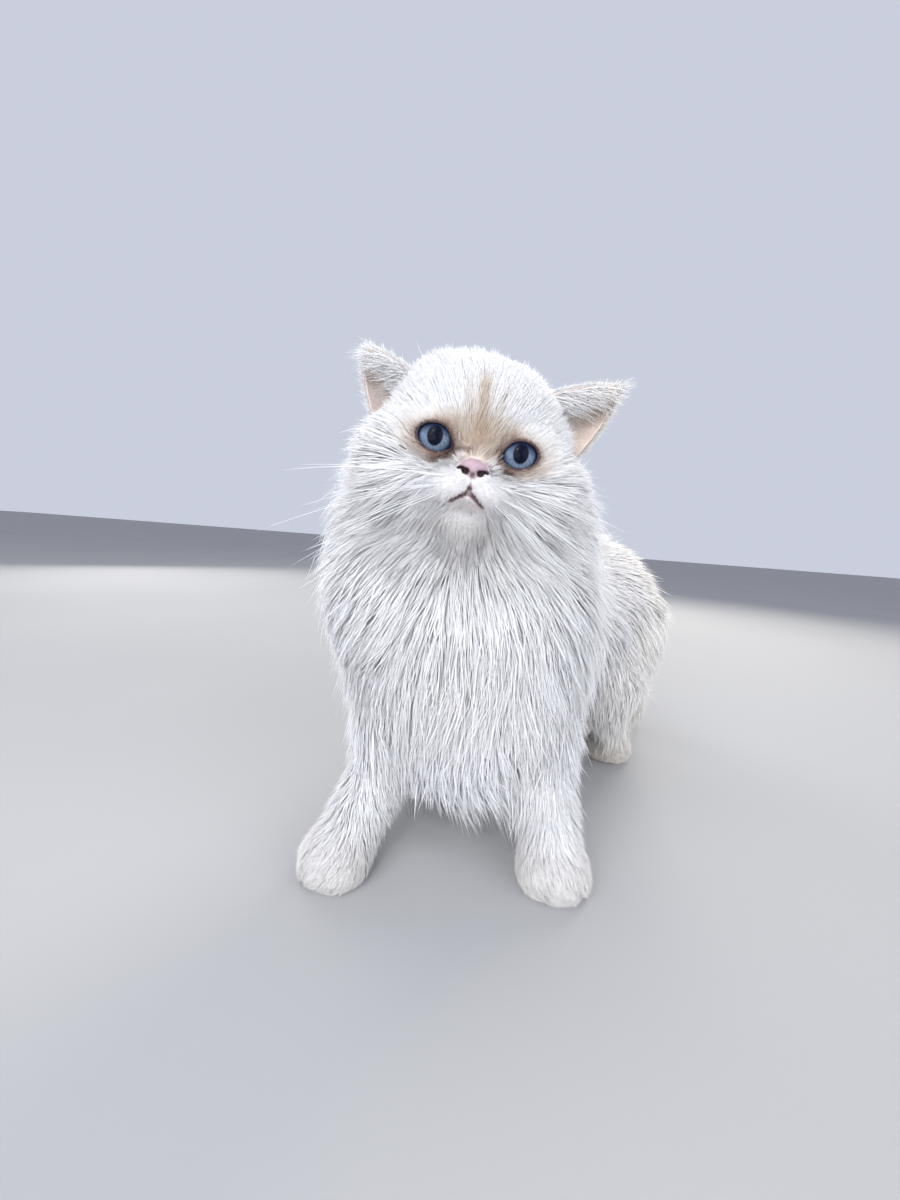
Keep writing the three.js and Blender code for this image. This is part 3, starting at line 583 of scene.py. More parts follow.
def skin_colour(p):
    q = moved(HEAD_BACK, p)
    colours = mixed(marking(p), SKIN_PALE, np.full(p.shape[:-1], 0.3))
    rim, nose, lip, mouth, holes = bare_masks(q)
    colours = mixed(colours, NOSE_PINK, nose)
    # The bare lip: its pinkish tone, partly painted shade under the muzzle
    colours = mixed(colours, LIP_PINK_AND_SHADE, 0.4 * lip)
    colours = mixed(colours, MOUTH_DARK, mouth)
    # The nostrils are painted near-black: painted shade inside their openings
    colours = mixed(colours, MOUTH_DARK * 0.4, holes)
    return mixed(colours, RIM, rim)


# Materials
def set_sockets(node, values):
    for socket, value in values.items():
        node.inputs[socket.replace("_", " ")].default_value = value
    return node


def new_node(tree, kind, **values):
    return set_sockets(tree.nodes.new("ShaderNode" + kind), values)


def material(name, **values):
    made = bpy.data.materials.new(name)
    made.use_nodes = True
    shader = set_sockets(made.node_tree.nodes["Principled BSDF"], values)
    return made, made.node_tree, shader


def tinted(name, noise_scale, noise_share, bump, bump_scale, **values):
    """A finish in the colours of the mesh, with a fine grain in its colour and relief."""
    made, tree, shader = material(name, **values)
    link = tree.links.new
    tint = new_node(tree, "Attribute")
    tint.attribute_name = "tint"
    where = new_node(tree, "TexCoord")
    grain = new_node(tree, "TexNoise", Scale=noise_scale, Detail=4)
    link(where.outputs["Object"], grain.inputs["Vector"])
    shade = new_node(tree, "MapRange", From_Min=0.3, From_Max=0.7, To_Min=1 - noise_share,
                     To_Max=1 + noise_share / 2)
    link(grain.outputs["Fac"], shade.inputs["Value"])
    scaled = new_node(tree, "VectorMath")
    scaled.operation = "SCALE"
    link(tint.outputs["Color"], scaled.inputs[0])
    link(shade.outputs["Result"], scaled.inputs["Scale"])
    link(scaled.outputs["Vector"], shader.inputs["Base Color"])
    relief = new_node(tree, "TexNoise", Scale=bump_scale)
    link(where.outputs["Object"], relief.inputs["Vector"])
    raised = new_node(tree, "Bump", Strength=bump, Distance=0.0004)
    link(relief.outputs["Fac"], raised.inputs["Height"])
    link(raised.outputs["Normal"], shader.inputs["Normal"])
    return made


skin_finish = tinted("skin", 260, 0.12, 0.5, 2600, Roughness=0.55)
coat_finish = tinted("coat", 420, 0.07, 0.2, 5200, Roughness=0.8, Sheen_Weight=0.2,
                     Sheen_Roughness=0.5, Subsurface_Weight=0.3, Subsurface_Scale=0.003,
                     Subsurface_Radius=(1.0, 0.9, 0.8))
whisker_finish = tinted("whisker", 900, 0.05, 0.1, 3000, Roughness=0.35)


# Ears: a cupped sheet of even thickness, open to the front and outwards
EARS = {
    "right": dict(inner=(-38, 47, 42), outer=(-62, 44, 10), tip=(-74, 47, 51)),
    "left": dict(inner=(38, 46, 50), outer=(64, 43, 18), tip=(77, 47, 60)),
}
EAR_HOLLOW = 11
EAR_FRONT, EAR_BEHIND = 0.5, 1.9  # the two faces of the sheet, behind the ear's cupped surface


def ear_frame(ear):
    """The middle of the ear's foot, and vectors up it, across it and out of its back."""
    a, b, top = (in_head(*ear[k]) for k in ("inner", "outer", "tip"))
    middle = (a + b) / 2
    rise, across = top - middle, (b - a) / 2
    back = unit(np.cross(across, rise))
    return middle, rise, across, back if back[1] > 0 else -back


def ear_point(ear, u, v, depth):
    """A place on the ear: u from -1 to 1 across it, v from 0 at its foot to 1 at its tip."""
    middle, rise, across, back = ear_frame(ear)
    u, v = np.asarray(u, float)[..., None], np.asarray(v, float)[..., None]
    width = (1 - np.clip(v, 0, 1) ** 1.5) ** 0.75 + 0.03
    cup = EAR_HOLLOW * width * (1 - u * u) + np.asarray(depth, float)[..., None]
    return middle + rise * (1.3 * v - 0.3) + across * u * width + back * cup


def ear_mesh(ear, rows=26, columns=24):
    """Points and quads of an ear, and which points are on its inside."""
    v, u = np.meshgrid(np.linspace(0, 1, rows + 1), np.linspace(-1, 1, columns + 1), indexing="ij")
    sheets = [ear_point(ear, u, v, np.full(u.shape, at)) for at in (EAR_FRONT, EAR_BEHIND)]
    points = np.concatenate([s.reshape(-1, 3) for s in sheets])
    count = u.size
    index = np.arange(count).reshape(u.shape)
    a, b, c, d = index[:-1, :-1], index[:-1, 1:], index[1:, 1:], index[1:, :-1]
    face = np.stack([a, b, c, d], axis=-1).reshape(-1, 4)
    faces = [face, face[:, ::-1] + count]
    edge = np.concatenate([index[0, :], index[1:, -1], index[-1, -2::-1], index[-2:0:-1, 0]])
    ahead = np.roll(edge, -1)
    faces.append(np.stack([ahead, edge, edge + count, ahead + count], axis=1))
    faces = np.concatenate(faces)
    a, b, _, d = points[face[0]]
    normal = np.cross(b - a, d - a)
    # A cross product that points out of the ear's back means that all faces are inside out
    if normal @ ear_frame(ear)[3] > 0:
        faces = faces[:, ::-1]
    inside = np.repeat((1.0, 0.0), count)
    return points, faces, inside


all_points, all_faces, all_tints = [skin_points], [skin_faces], [skin_colour(skin_points)]
offset = len(skin_points)
for ear in EARS.values():
    points, faces, inside = ear_mesh(ear)
    all_points.append(points)
    all_faces.append(faces + offset)
    all_tints.append(mixed(marking(points), EAR_PINK, 0.25 + 0.6 * inside))
    offset += len(points)
skin = mesh_object("skin", np.concatenate(all_points), np.concatenate(all_faces))
set_colours(skin, np.concatenate(all_tints))
skin.data.materials.append(skin_finish)
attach(skin, "root")
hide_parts(*[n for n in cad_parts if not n.startswith("eye")])


# Eyes: an eyeball with the low dome of its cornea, blue round a dark upright pupil. The finish is
# laid out in metres from the middle of the eyeball, with z up.
PUPIL_WIDE, PUPIL_TALL = 0.0041, 0.0052
PUPIL_EDGE = (0.88, 1.08)
PAINTED_LID_SHADE = (-0.0015, 0.005)  # heights between which painted shade of the upper lid darkens the iris
IRIS_RING = (0.0063, 0.0086)
IRIS_EDGE = (0.0096, 0.0102)
IRIS_LOW, IRIS_HIGH = (0.065, 0.09, 0.135, 1), (0.19, 0.25, 0.325, 1)
PAINTED_SHADE_BLUE, RING_BLUE = (0.014, 0.02, 0.05, 1), (0.012, 0.02, 0.05, 1)
EYE_WHITE, PUPIL_BLACK = (0.55, 0.50, 0.47, 1), (0.004, 0.005, 0.012, 1)
FIBRES, FIBRE_RUN = 9, 260


def eye_finish():
    made, tree, shader = material("eye", Roughness=0.35, Coat_Weight=0.12, Coat_Roughness=0.02,
                                  Specular_IOR_Level=0.0)
    link = tree.links.new

    def fill(sockets, values):
        for socket, value in zip(sockets, values):
            if isinstance(value, (int, float, tuple)):
                socket.default_value = value
            else:
                link(value, socket)

    def maths(operation, *values):
        node = new_node(tree, "Math")
        node.operation = operation
        fill(node.inputs, values)
        return node.outputs[0]

    def length(a, b):
        return maths("SQRT", maths("ADD", maths("MULTIPLY", a, a), maths("MULTIPLY", b, b)))

    def mix(share, a, b):
        node = new_node(tree, "Mix")
        node.data_type = "RGBA"
        fill((node.inputs["Factor"], node.inputs[6], node.inputs[7]), (share, a, b))
        return node.outputs[2]

    def between(value, low, high):
        node = new_node(tree, "MapRange", From_Min=low, From_Max=high)
        node.interpolation_type = "SMOOTHSTEP"
        link(value, node.inputs["Value"])
        return node.outputs["Result"]

    split = new_node(tree, "SeparateXYZ")
    link(new_node(tree, "TexCoord").outputs["Object"], split.inputs["Vector"])
    x, z = split.outputs["X"], split.outputs["Z"]
    radius = length(x, z)
    pupil_radius = length(maths("DIVIDE", x, PUPIL_WIDE), maths("DIVIDE", z, PUPIL_TALL))
    angle = maths("ARCTAN2", z, x)
    fibre_place = new_node(tree, "CombineXYZ")
    fill(fibre_place.inputs, (
        maths("MULTIPLY", maths("COSINE", angle), FIBRES),
        maths("MULTIPLY", maths("SINE", angle), FIBRES), maths("MULTIPLY", radius, FIBRE_RUN)))
    fibres = new_node(tree, "TexNoise", Scale=1.6, Detail=5)
    link(fibre_place.outputs["Vector"], fibres.inputs["Vector"])
    iris = new_node(tree, "ValToRGB")
    for stop, position, colour in zip(iris.color_ramp.elements, (0.30, 0.72), (IRIS_LOW, IRIS_HIGH)):
        stop.position, stop.color = position, colour
    link(fibres.outputs["Fac"], iris.inputs["Fac"])
    # the top of the iris is painted darker: painted shade of the upper lid
    colour = mix(between(z, *PAINTED_LID_SHADE), iris.outputs["Color"], PAINTED_SHADE_BLUE)
    colour = mix(between(radius, *IRIS_RING), colour, RING_BLUE)
    colour = mix(between(radius, *IRIS_EDGE), colour, EYE_WHITE)
    pupil = maths("SUBTRACT", 1, between(pupil_radius, *PUPIL_EDGE))
    colour = mix(pupil, colour, PUPIL_BLACK)
    link(colour, shader.inputs["Base Color"])
    return made


BALL_GAP = 0.05
CORNEA_RISE, CORNEA_FROM, CORNEA_SPAN = 0.45, 0.78, 0.22  # the last two in cosines from its tip


def eyeball(side, name, finish):
    rings, segments = 56, 64
    a = np.linspace(0, np.pi, rings + 1)[1:-1]
    dome = CORNEA_RISE * np.maximum(0, np.cos(a) - CORNEA_FROM) / CORNEA_SPAN
    turn = np.linspace(0, 2 * np.pi, segments, endpoint=False)
    radius = EYE_RADIUS - BALL_GAP
    across = (radius * np.sin(a))[:, None] * np.stack([np.cos(turn), np.sin(turn)])[:, None]
    ahead = np.repeat((-radius * np.cos(a) - dome)[:, None], segments, axis=1)
    points = np.stack([across[0], ahead, across[1]], axis=-1).reshape(-1, 3)
    poles = [(0, -radius - CORNEA_RISE, 0), (0, radius, 0)]
    points = np.concatenate([points, poles])
    mesh = bpy.data.meshes.new(name)
    faces = []

    def at(i, j):
        return i * segments + j % segments

    for j in range(segments):
        faces.append((len(points) - 2, at(0, j), at(0, j + 1)))
        for i in range(rings - 2):
            faces.append((at(i, j + 1), at(i, j), at(i + 1, j), at(i + 1, j + 1)))
        faces.append((at(rings - 2, j + 1), at(rings - 2, j), len(points) - 1))
    mesh.from_pydata([tuple(p) for p in points / MM], [], faces)
    mesh.validate()
    mesh.polygons.foreach_set("use_smooth", np.ones(len(mesh.polygons), bool))
    mesh.materials.append(finish)
    eye = add_object(name, mesh)
    centre = place(in_head(side * EYE_APART / 2, EYE_BACK, 0))
    eye.matrix_world = Matrix.Translation(centre) @ Matrix(HEAD.tolist()).to_3x3().to_4x4()
    return eye


eye_look = eye_finish()
for side, name in ((-1, "right"), (1, "left")):
    eye = eyeball(side, "eyeball_" + name, eye_look)
    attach(eye, "root")
    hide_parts("eye_" + name)


# Camera, light and floor
CAMERA_AT = (0, 0, 230)
CAMERA_AXES = (  # to the picture's right, to its top, and back from the cat
    (0.99713, 0.0106, 0.07493), (-0.07567, 0.13964, 0.98731), (0, -0.99015, 0.14004))
LENS, SENSOR = 13.2, 36
LIGHTS = {  # place, what it shines on, size, all in metres, then power and colour
    "key": ((-0.7, -1.3, 1.5), (0, 0, 0.2), 1.6, 24, (0.96, 0.97, 1.0)),
    "fill": ((1.2, -1.1, 0.6), (0, 0, 0.15), 1.8, 17, (0.93, 0.95, 1.0)),
    "low": ((-0.6, -1.4, 0.25), (0, 0, 0.12), 1.4, 16, (0.88, 0.91, 1.0)),
    "glint": ((-0.35, -1.2, 1.15), (0, 0, 0.28), 0.12, 3.2, (1.0, 1.0, 1.0)),
    "behind": ((-1.3, 1.3, 0.9), (0, 0, 0.15), 1.6, 16, (1.0, 0.98, 0.95)),
    "rim": ((0.9, 1.4, 1.3), (0, 0, 0.2), 1.2, 30, (1.0, 0.96, 0.88)),
}


def area_light(name, at, target, size, power, colour):
    lamp = bpy.data.lights.new(name, "AREA")
    lamp.shape, lamp.size, lamp.energy, lamp.color = "DISK", size, power, colour
    turn = (Vector(target) - Vector(at)).to_track_quat("-Z", "Y")
    add_object(name, lamp).matrix_world = Matrix.Translation(at) @ turn.to_matrix().to_4x4()


camera = add_object("camera", bpy.data.cameras.new("camera"))
camera.data.lens, camera.data.sensor_width = LENS, SENSOR
camera.data.clip_start = 0.01
turn = Matrix(CAMERA_AXES).transposed()
camera.matrix_world = Matrix.Translation(place(CAMERA_AT)) @ turn.to_4x4()
bpy.context.scene.camera = camera

for name, light in LIGHTS.items():
    area_light(name, *light)
world = bpy.data.worlds.new("studio")
world.use_nodes = True
set_sockets(world.node_tree.nodes["Background"], dict(Color=(0.76, 0.80, 0.93, 1), Strength=0.78))
bpy.context.scene.world = world
bpy.context.scene.view_settings.view_transform = "Standard"

floor_look, floor_tree, floor_shader = material("floor", Roughness=0.8)
floor_noise = new_node(floor_tree, "TexNoise", Scale=60)
floor_ramp = new_node(floor_tree, "ValToRGB")
floor_ramp.color_ramp.elements[0].color = (0.32, 0.32, 0.325, 1)
floor_ramp.color_ramp.elements[1].color = (0.37, 0.37, 0.37, 1)
floor_tree.links.new(floor_noise.outputs["Fac"], floor_ramp.inputs["Fac"])
floor_tree.links.new(floor_ramp.outputs["Color"], floor_shader.inputs["Base Color"])
bpy.ops.mesh.primitive_grid_add(x_subdivisions=2, y_subdivisions=2, size=30, location=(0, 0, 0))
floor = bpy.context.object
floor.name = "floor"
floor.data.materials.append(floor_look)


# The coat. Guides follow the lie of the hair from root to tip, and tufts gather round them.
draws = np.random.default_rng(20)
NOSE_TIP = np.array((0.0, -4.0, -13.0))
REARWARD = in_trunk(0, 1, 0) - in_trunk(0, 0, 0)
DOWN = np.array((0.0, 0.0, -1.0))
STEPS = 8  # of a path from root to tip
FARTHEST_STRAY = 16  # as far as the photo's wisps stand out of the coat
WANDERING = ((0.5, 30), (0.4, 16), (0.3, 9))  # shares and sizes of the waves in the hair's lie
DRIFT = draws.normal(0, 1, (3, 3, 3))
GUIDE_FLOOR, HAIR_FLOOR = 0.8, 0.3  # least heights above the floor
MOST_PULL = 12  # towards the height that a guide should have, in one step
# Centres and radii of fluff beside the right ear, the flatter top, and hair that may stand up
CROWN = (-36, 34, 48), (21, 28, 22)
TOP = (2, 34, 58), (26, 30, 18)
STANDING = (-8, 34, 56), (50, 34, 26)


def lie_of_head(p):
    """Away from the nose and the eyes, and back and down behind the crown and the jaw."""
    q = moved(HEAD_BACK, p)
    away = unit(q - NOSE_TIP) * np.maximum(np.linalg.norm(q - NOSE_TIP, axis=-1, keepdims=True), 1)
    for side in (-1, 1):
        beside = from_eye(q, side) * (1, 0.3, 1)
        far = np.linalg.norm(beside, axis=-1, keepdims=True)
        away = away + 26 * unit(beside) * smooth(-far, -17, -9)
    away[..., 1] += 0.35 * np.clip(q[..., 1] - 20, 0, 25)
    away[..., 2] -= 0.5 * np.maximum(q[..., 1] - 30, 0) + 2.0 * np.maximum(q[..., 1] - 46, 0)
    return unit(unit(away) @ HEAD[:3, :3].T + DOWN * 0.15 * smooth(-q[..., 2], 10, 40)[..., None])


def lie_of_neck(p):
    """Down and away from the jaw, steepest at the nape."""
    away = p - in_head(0, 6, -10)
    away[..., 0] *= 0.3 + 0.7 * smooth(np.abs(away[..., 0]), 30, 80)
    return unit(unit(away) + DOWN * (0.8 + 0.9 * smooth(away[..., 1:2], 50, 90)))


def lie_of_trunk(p):
    """Down at the chest and on the flanks, and rearward along the back."""
    rear = smooth(p[..., 1], 300, 380)[..., None]
    high = smooth(p[..., 2], 150, 235)[..., None]
    return unit(REARWARD * (0.25 + 0.75 * rear) + DOWN * (1 - 0.75 * high * rear))


def lie_of_tail(p):
    d = np.stack([np.linalg.norm(p - q, axis=-1) for q in TAIL_LINE])
    at = d.argmin(axis=0)
    line = np.array(TAIL_LINE)
    ahead = line[np.minimum(at + 1, len(line) - 1)] - line[np.maximum(at - 1, 0)]
    return unit(unit(ahead) + 0.25 * DOWN)


def steady(direction):
    """A lie that is the same everywhere."""
    return lambda p: np.broadcast_to(unit(np.array(direction, float)), p.shape)


def ahead_of(toward):
    a = math.radians(toward)
    return np.array((math.sin(a), -math.cos(a), 0))


GROUPS = {  # forms, the way the hair lies, and the line of the group's unwrap
    "head": (SKULL_FORMS + FACE_FORMS, lie_of_head, None),
    "trunk": (TRUNK_FORMS, lie_of_trunk, (in_trunk(0, 40, 164), in_trunk(0, -200, 160))),
    "neck": (NECK_FORMS, lie_of_neck, (np.array((16, 322, 150)), in_head(1, 58, 10))),
    "tail": (TAIL_FORMS, lie_of_tail, (TAIL_LINE[0], TAIL_LINE[-1])),
}
for side, fore in FORE.items():
    shoulder, wrist = np.array(fore["shoulder"]), np.array(fore["wrist"])
    GROUPS["foreleg_" + side] = (
        BODY_GROUPS["foreleg_" + side], steady(DOWN + 0.15 * REARWARD), (shoulder, wrist))
    GROUPS["forepaw_" + side] = (
        PAW_GROUPS["forepaw_" + side], steady(ahead_of(fore["toward"]) + 0.7 * DOWN),
        (wrist, np.array((*fore["paw"], 0))))
for side, leg in HIND.items():
    GROUPS["hindleg_" + side] = (
        BODY_GROUPS["hindleg_" + side], steady(DOWN + 0.35 * REARWARD), (leg["hip"], leg["hock"]))
    GROUPS["hindpaw_" + side] = (
        PAW_GROUPS["hindpaw_" + side], steady(0.5 * ahead_of(-BODY_YAW) + DOWN),
        (leg["hock"], leg["paw"]))
GROUP_NAMES = list(GROUPS)
SHARED = 6  # millimetres


def group_shares(p):
    """Shares of the groups at places. They pass from one to the next over about 6 mm."""
    d = np.stack([union(forms, p, BLEND, 0.0) for forms, _, _ in GROUPS.values()], axis=-1)
    shares = np.exp(-np.clip(d - d.min(axis=-1, keepdims=True), 0, 10 * SHARED) / SHARED)
    return shares / shares.sum(axis=-1, keepdims=True)


def wander(p):
    """A slow, even drift of the hair's direction over the body."""
    return sum(share * np.sin(p @ drift / size + n)
               for n, ((share, size), drift) in enumerate(zip(WANDERING, DRIFT)))


def lie(p):
    shares = group_shares(p)
    way = sum(shares[..., n, None] * way(p) for n, (_, way, _) in enumerate(GROUPS.values()))
    loose = 0.42 - 0.3 * shares[..., :1]
    return unit(way + loose * wander(p))


def unwrap(p, group):
    """The place of a root on a flat plan of the body, each group in its own field of it: the
    head round its middle, and the others unrolled round their line."""
    plan = np.zeros((len(p), 2))
    for n, name in enumerate(GROUP_NAMES):
        mine = group == n
        if not mine.any():
            continue
        line = GROUPS[name][2]
        if line is None:
            q = moved(HEAD_BACK, p[mine]) - (0, 38, -4)
            tilt = np.arccos(np.clip(-q[:, 1] / np.linalg.norm(q, axis=1), -1, 1)) / np.pi
            turn = np.arctan2(q[:, 2], q[:, 0])
            round_plan = 0.235 * tilt * np.stack([np.cos(turn), np.sin(turn)])
            plan[mine] = np.add((0.25, 0.75), round_plan.T)
            continue
        start, end = line
        run = end - start
        t = np.clip((p[mine] - start) @ run / (run @ run), -0.4, 1.4)
        across = unit(np.cross(run, (0.3, 0.9, 0.2)))
        over = unit(np.cross(run, across))
        turn = np.arctan2((p[mine] - start) @ over, (p[mine] - start) @ across)
        row, column = divmod(n - 1, 4)
        u0, v0, wide, tall = 0.01 + 0.25 * column, 0.01 + 0.16 * row, 0.225, 0.14
        if name in ("trunk", "neck"):
            u0, v0, wide, tall = 0.51, 0.51 + 0.25 * (name == "neck"), 0.475, 0.225
        plan[mine] = np.stack([u0 + wide * (t + 0.4) / 1.8,
                               v0 + tall * (turn / (2 * np.pi) + 0.5)], axis=1)
    return plan


def scatter(points, faces, density):
    """Random places on quads, as many as their areas and densities ask for."""
    a, b, c, d = (points[faces[:, n]] for n in range(4))
    area = np.linalg.norm(np.cross(c - a, d - b), axis=1) / 2
    reach = np.cumsum(area * density)
    marks = np.arange(int(reach[-1])) + draws.random(int(reach[-1]))
    chosen = np.minimum(np.searchsorted(reach, marks), len(faces) - 1)
    u, v = draws.random((2, len(chosen), 1))
    a, b, c, d = (x[chosen] for x in (a, b, c, d))
    return (a * (1 - u) + b * u) * (1 - v) + (d * (1 - u) + c * u) * v, chosen


def hair_length(p, depth):
    """The coat's length at a root: least at the nose, mouth, lids and toes."""
    q = moved(HEAD_BACK, p)
    nose = np.linalg.norm((q - (0, -2, -20)) * (1, 0.8, 0.8), axis=-1)
    eye = eye_distance(q, EYE_BACK - 4)
    share = (0.42 + 0.58 * smooth(nose, 9, 36)) * (0.4 + 0.6 * smooth(eye, 10, 21))
    crown = blob(q, *CROWN)
    tear = np.min([line_distance(q * FLAT, line) for line, _, _, tone in STRIPES
                   if tone is TEAR_BROWN], axis=0)
    share = share * (1 - 0.6 * np.exp(-(tear / 3.5) ** 2) * (q[..., 1] < 30))
    beard = 15 * blob(q, (2, 8, -52), (17, 12, 9))
    breeches = smooth(p[..., 1], 370, 420) * smooth(-p[..., 2], -125, -85) * smooth(p[..., 2], 22, 34)
    return (3.0 + 2.45 * depth) * share * (1 + 0.5 * crown) + beard + 17 * breeches


def guides_from(roots, depth):
    """Paths of the guides, their directions out of the coat, and their lengths. Each step goes
    along the hair's lie and then to the height in the coat that it should have reached. Under
    the body long hair falls free of that, and on the crown it may stand up."""
    count = len(roots)
    length = hair_length(roots, depth) * draws.uniform(0.85, 1.12, count)
    q = moved(HEAD_BACK, roots)
    crown = blob(q, *CROWN)
    top = draws.uniform(0.86, 1.1, count) - 0.36 * blob(q, *TOP)
    lift = 7 * crown + 8 * blob(q, *STANDING) * draws.random(count) ** 2
    p = roots.copy()
    out = unit(gradient(p))
    path, outs = [p.copy()], [out]
    for step in range(STEPS):
        s = (step + 1) / STEPS
        way = lie(p)
        fall = smooth(-out[:, 2], 0.1, 0.8) * smooth(depth, 5, 14)
        hang = 0.1 + 0.75 * fall
        way = way - out * ((way * out).sum(axis=1) * (1 - hang))[:, None]
        p = p + unit(way) * (length / STEPS)[:, None]
        height = top * s ** 0.75
        off = whole(p, height) - (0.25 + 0.5 * s) - lift * s
        out = unit(gradient(p, height))
        pull = np.where(off < 0, 1.0, 0.85 * (1 - fall))
        p = p - out * np.clip(off * pull, -MOST_PULL, MOST_PULL)[:, None]
        p[:, 2] = np.maximum(p[:, 2], GUIDE_FLOOR)
        path.append(p.copy())
        outs.append(out)
    return np.stack(path, axis=1), np.stack(outs, axis=1), length


def along(values, s):
    """Values at shares s, from 0 to 1, of paths whose places are evenly spaced."""
    at = np.clip(s, 0, 1) * (values.shape[1] - 1)
    low = np.minimum(at.astype(int), values.shape[1] - 2)
    part = (at - low)[..., None]
    row = np.arange(len(values))[:, None]
    return values[row, low] * (1 - part) + values[row, low + 1] * part


CORNERS = ((-1.0, -0.25), (1.0, -0.25), (0.0, 0.5))  # of a ring: across and outwards


def tuft_points(own, gathered, out, size, width, rings, clump, stray, soft=1.0, reach=(0.7, 1.0)):
    """Corners of the tufts: rings of three, then the tip, with normals and shares of length.
    Each follows its own path, drawn by clump towards the gathered one of its lock. The normals
    of its upper and under faces are the coat's where it is soft, and its own where it isn't."""
    count = len(own)
    ahead = unit(np.gradient(own, axis=1))
    # hair that hangs below the body, or stands straight out, takes its broad side outwards and up
    side = out * (1, 1, 0)
    side = side / np.maximum(np.linalg.norm(side, axis=-1, keepdims=True), 0.15) + (0, 0, 0.5)
    under = smooth(-out[..., 2:], 0.2, 0.9)
    straight = smooth(np.abs((out * ahead).sum(axis=-1, keepdims=True)), 0.6, 0.95)
    coat = unit(out + 0.9 * under * side)
    out = out + (0.9 * under + 0.4 * straight) * side
    out = unit(out - ahead * (out * ahead).sum(axis=-1, keepdims=True))
    across = unit(np.cross(out, ahead))
    s = np.linspace(0, 1, rings + 1)[None] * np.ones((count, 1))
    reached = s * draws.uniform(*reach, count)[:, None]
    own_at, lock_at = along(own, reached), along(gathered, reached)
    out_at, ahead_at, across_at = (unit(along(v, reached)) for v in (out, ahead, across))
    coat_at = soft * unit(along(coat, reached))
    size = size[:, None]
    phase, turns = draws.random((count, 1)), draws.uniform(0.6, 1.3, (count, 1))
    wave = 0.04 * size * reached * np.sin(2 * np.pi * (turns * reached + phase))
    loose = stray[:, None] * size * reached ** 2
    wild = np.clip(loose * draws.normal(0, 1, (count, 1)), -FARTHEST_STRAY, FARTHEST_STRAY)
    rise = np.minimum(loose * np.abs(draws.normal(0, 0.7, (count, 1))), 0.6 * FARTHEST_STRAY)
    line = own_at + (lock_at - own_at) * (clump[:, None] * reached ** 1.3)[..., None]
    line = line + across_at * (wave + wild)[..., None] + out_at * rise[..., None]
    half = 0.5 * width[:, None] * (0.6 + 0.8 * s) * (1 - s ** 1.7)
    points = np.stack([line + half[..., None] * (across_at * x + out_at * y) for x, y in CORNERS],
                      axis=2)
    # the light sees the coat's own surface more than the sides of a single tuft
    above = 0.65 * coat_at + 0.35 * soft * out_at
    stands = smooth(np.abs((coat_at * ahead_at).sum(axis=-1, keepdims=True)), 0.3, 0.8)
    below = (0.35 + 0.65 * stands) * coat_at - (0.8 - 0.5 * stands) * soft * out_at
    normals = np.stack([np.stack([base + out_at * (0.4 * y) * turn + across_at * (0.55 * x)
                                  for base, turn in ((above, 1), (below, -1))], axis=2)
                        for x, y in CORNERS], axis=2)
    tip = np.stack([base[:, -1] + ahead_at[:, -1] * (1 - soft) for base in (above, below)],
                   axis=1)[:, None]
    points = np.concatenate([points[:, :rings].reshape(count, -1, 3), line[:, -1:]], axis=1)
    normals = np.concatenate([normals[:, :rings].reshape(count, -1, 2, 3), tip], axis=1)
    points[..., 2] = np.maximum(points[..., 2], HAIR_FLOOR)
    shares = np.concatenate([np.repeat(s[:, :rings], 3, axis=1), s[:, -1:]], axis=1)
    return points, normals, shares


def tuft_faces(rings):
    """Corners of a tuft's triangles, and which of them are on its underside."""
    faces, under = [(0, 2, 1)], [1]
    for i in range(rings - 1):
        for j in range(3):
            a, b = 3 * i + j, 3 * i + (j + 1) % 3
            faces += [(a, b, b + 3), (a, b + 3, a + 3)]
            under += [int(j == 0)] * 2
    last = 3 * (rings - 1)
    faces += [(last + j, last + (j + 1) % 3, last + 3) for j in range(3)]
    return np.array(faces), np.array(under + [1, 0, 0])


MOST_TRIANGLES = 195000
PATCH, PATCH_HALF = 0.0015, 0.001  # half the length and width of a tuft's patch on the map
BRIGHTEST = 0.93


def tuft_mesh(name, points, rings):
    """An object from tufts that have the same number of rings, and its triangles."""
    count, corners = points.shape[:2]
    faces = np.arange(count)[:, None, None] * corners + tuft_faces(rings)[0]
    faces = faces.reshape(-1, 3)
    return mesh_object(name, points.reshape(-1, 3), faces), faces


def coat_pieces(name, rings, points, normals, tints, plan):
    """Pieces of coat from tufts that have the same number of rings."""
    pattern, under = tuft_faces(rings)
    spread = np.stack([np.tile((-PATCH_HALF, PATCH_HALF, 0.0), rings),
                       np.repeat(np.linspace(-PATCH, PATCH, rings), 3)], axis=1)
    spread = np.concatenate([spread, [(0, PATCH)]])
    most = MOST_TRIANGLES // len(pattern)
    for part in range(0, len(points), most):
        chosen = slice(part, part + most)
        piece, faces = tuft_mesh(f"coat_{name}_{part // most + 1}", points[chosen], rings)
        set_colours(piece, np.clip(tints[chosen], 0, BRIGHTEST).reshape(-1, 3))
        uv = (plan[chosen][:, None] + spread).reshape(-1, 2)
        layer = piece.data.uv_layers.new(name="OFBake")
        layer.data.foreach_set("uv", uv[faces.ravel()].astype(np.float32).ravel())
        layer = piece.data.attributes.new("custom_normal", "FLOAT_VECTOR", "CORNER")
        facing = unit(normals[chosen][:, pattern, under[:, None]])
        layer.data.foreach_set("vector", facing.astype(np.float32).ravel())
        piece.data.materials.append(coat_finish)
        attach(piece, "root")


def own_paths(roots, outs_at, ways, length, bend, sag):
    """A path for each hair: out along ways, bent outwards, then down."""
    s = np.linspace(0, 1, STEPS + 1)[None, :, None]
    size = length[:, None, None]
    path = roots[:, None] + ways[:, None] * s * size + outs_at[:, None] * size * bend * s * (1 - s)
    return path + DOWN * size * sag * s ** 2, np.repeat(outs_at[:, None], STEPS + 1, axis=1)


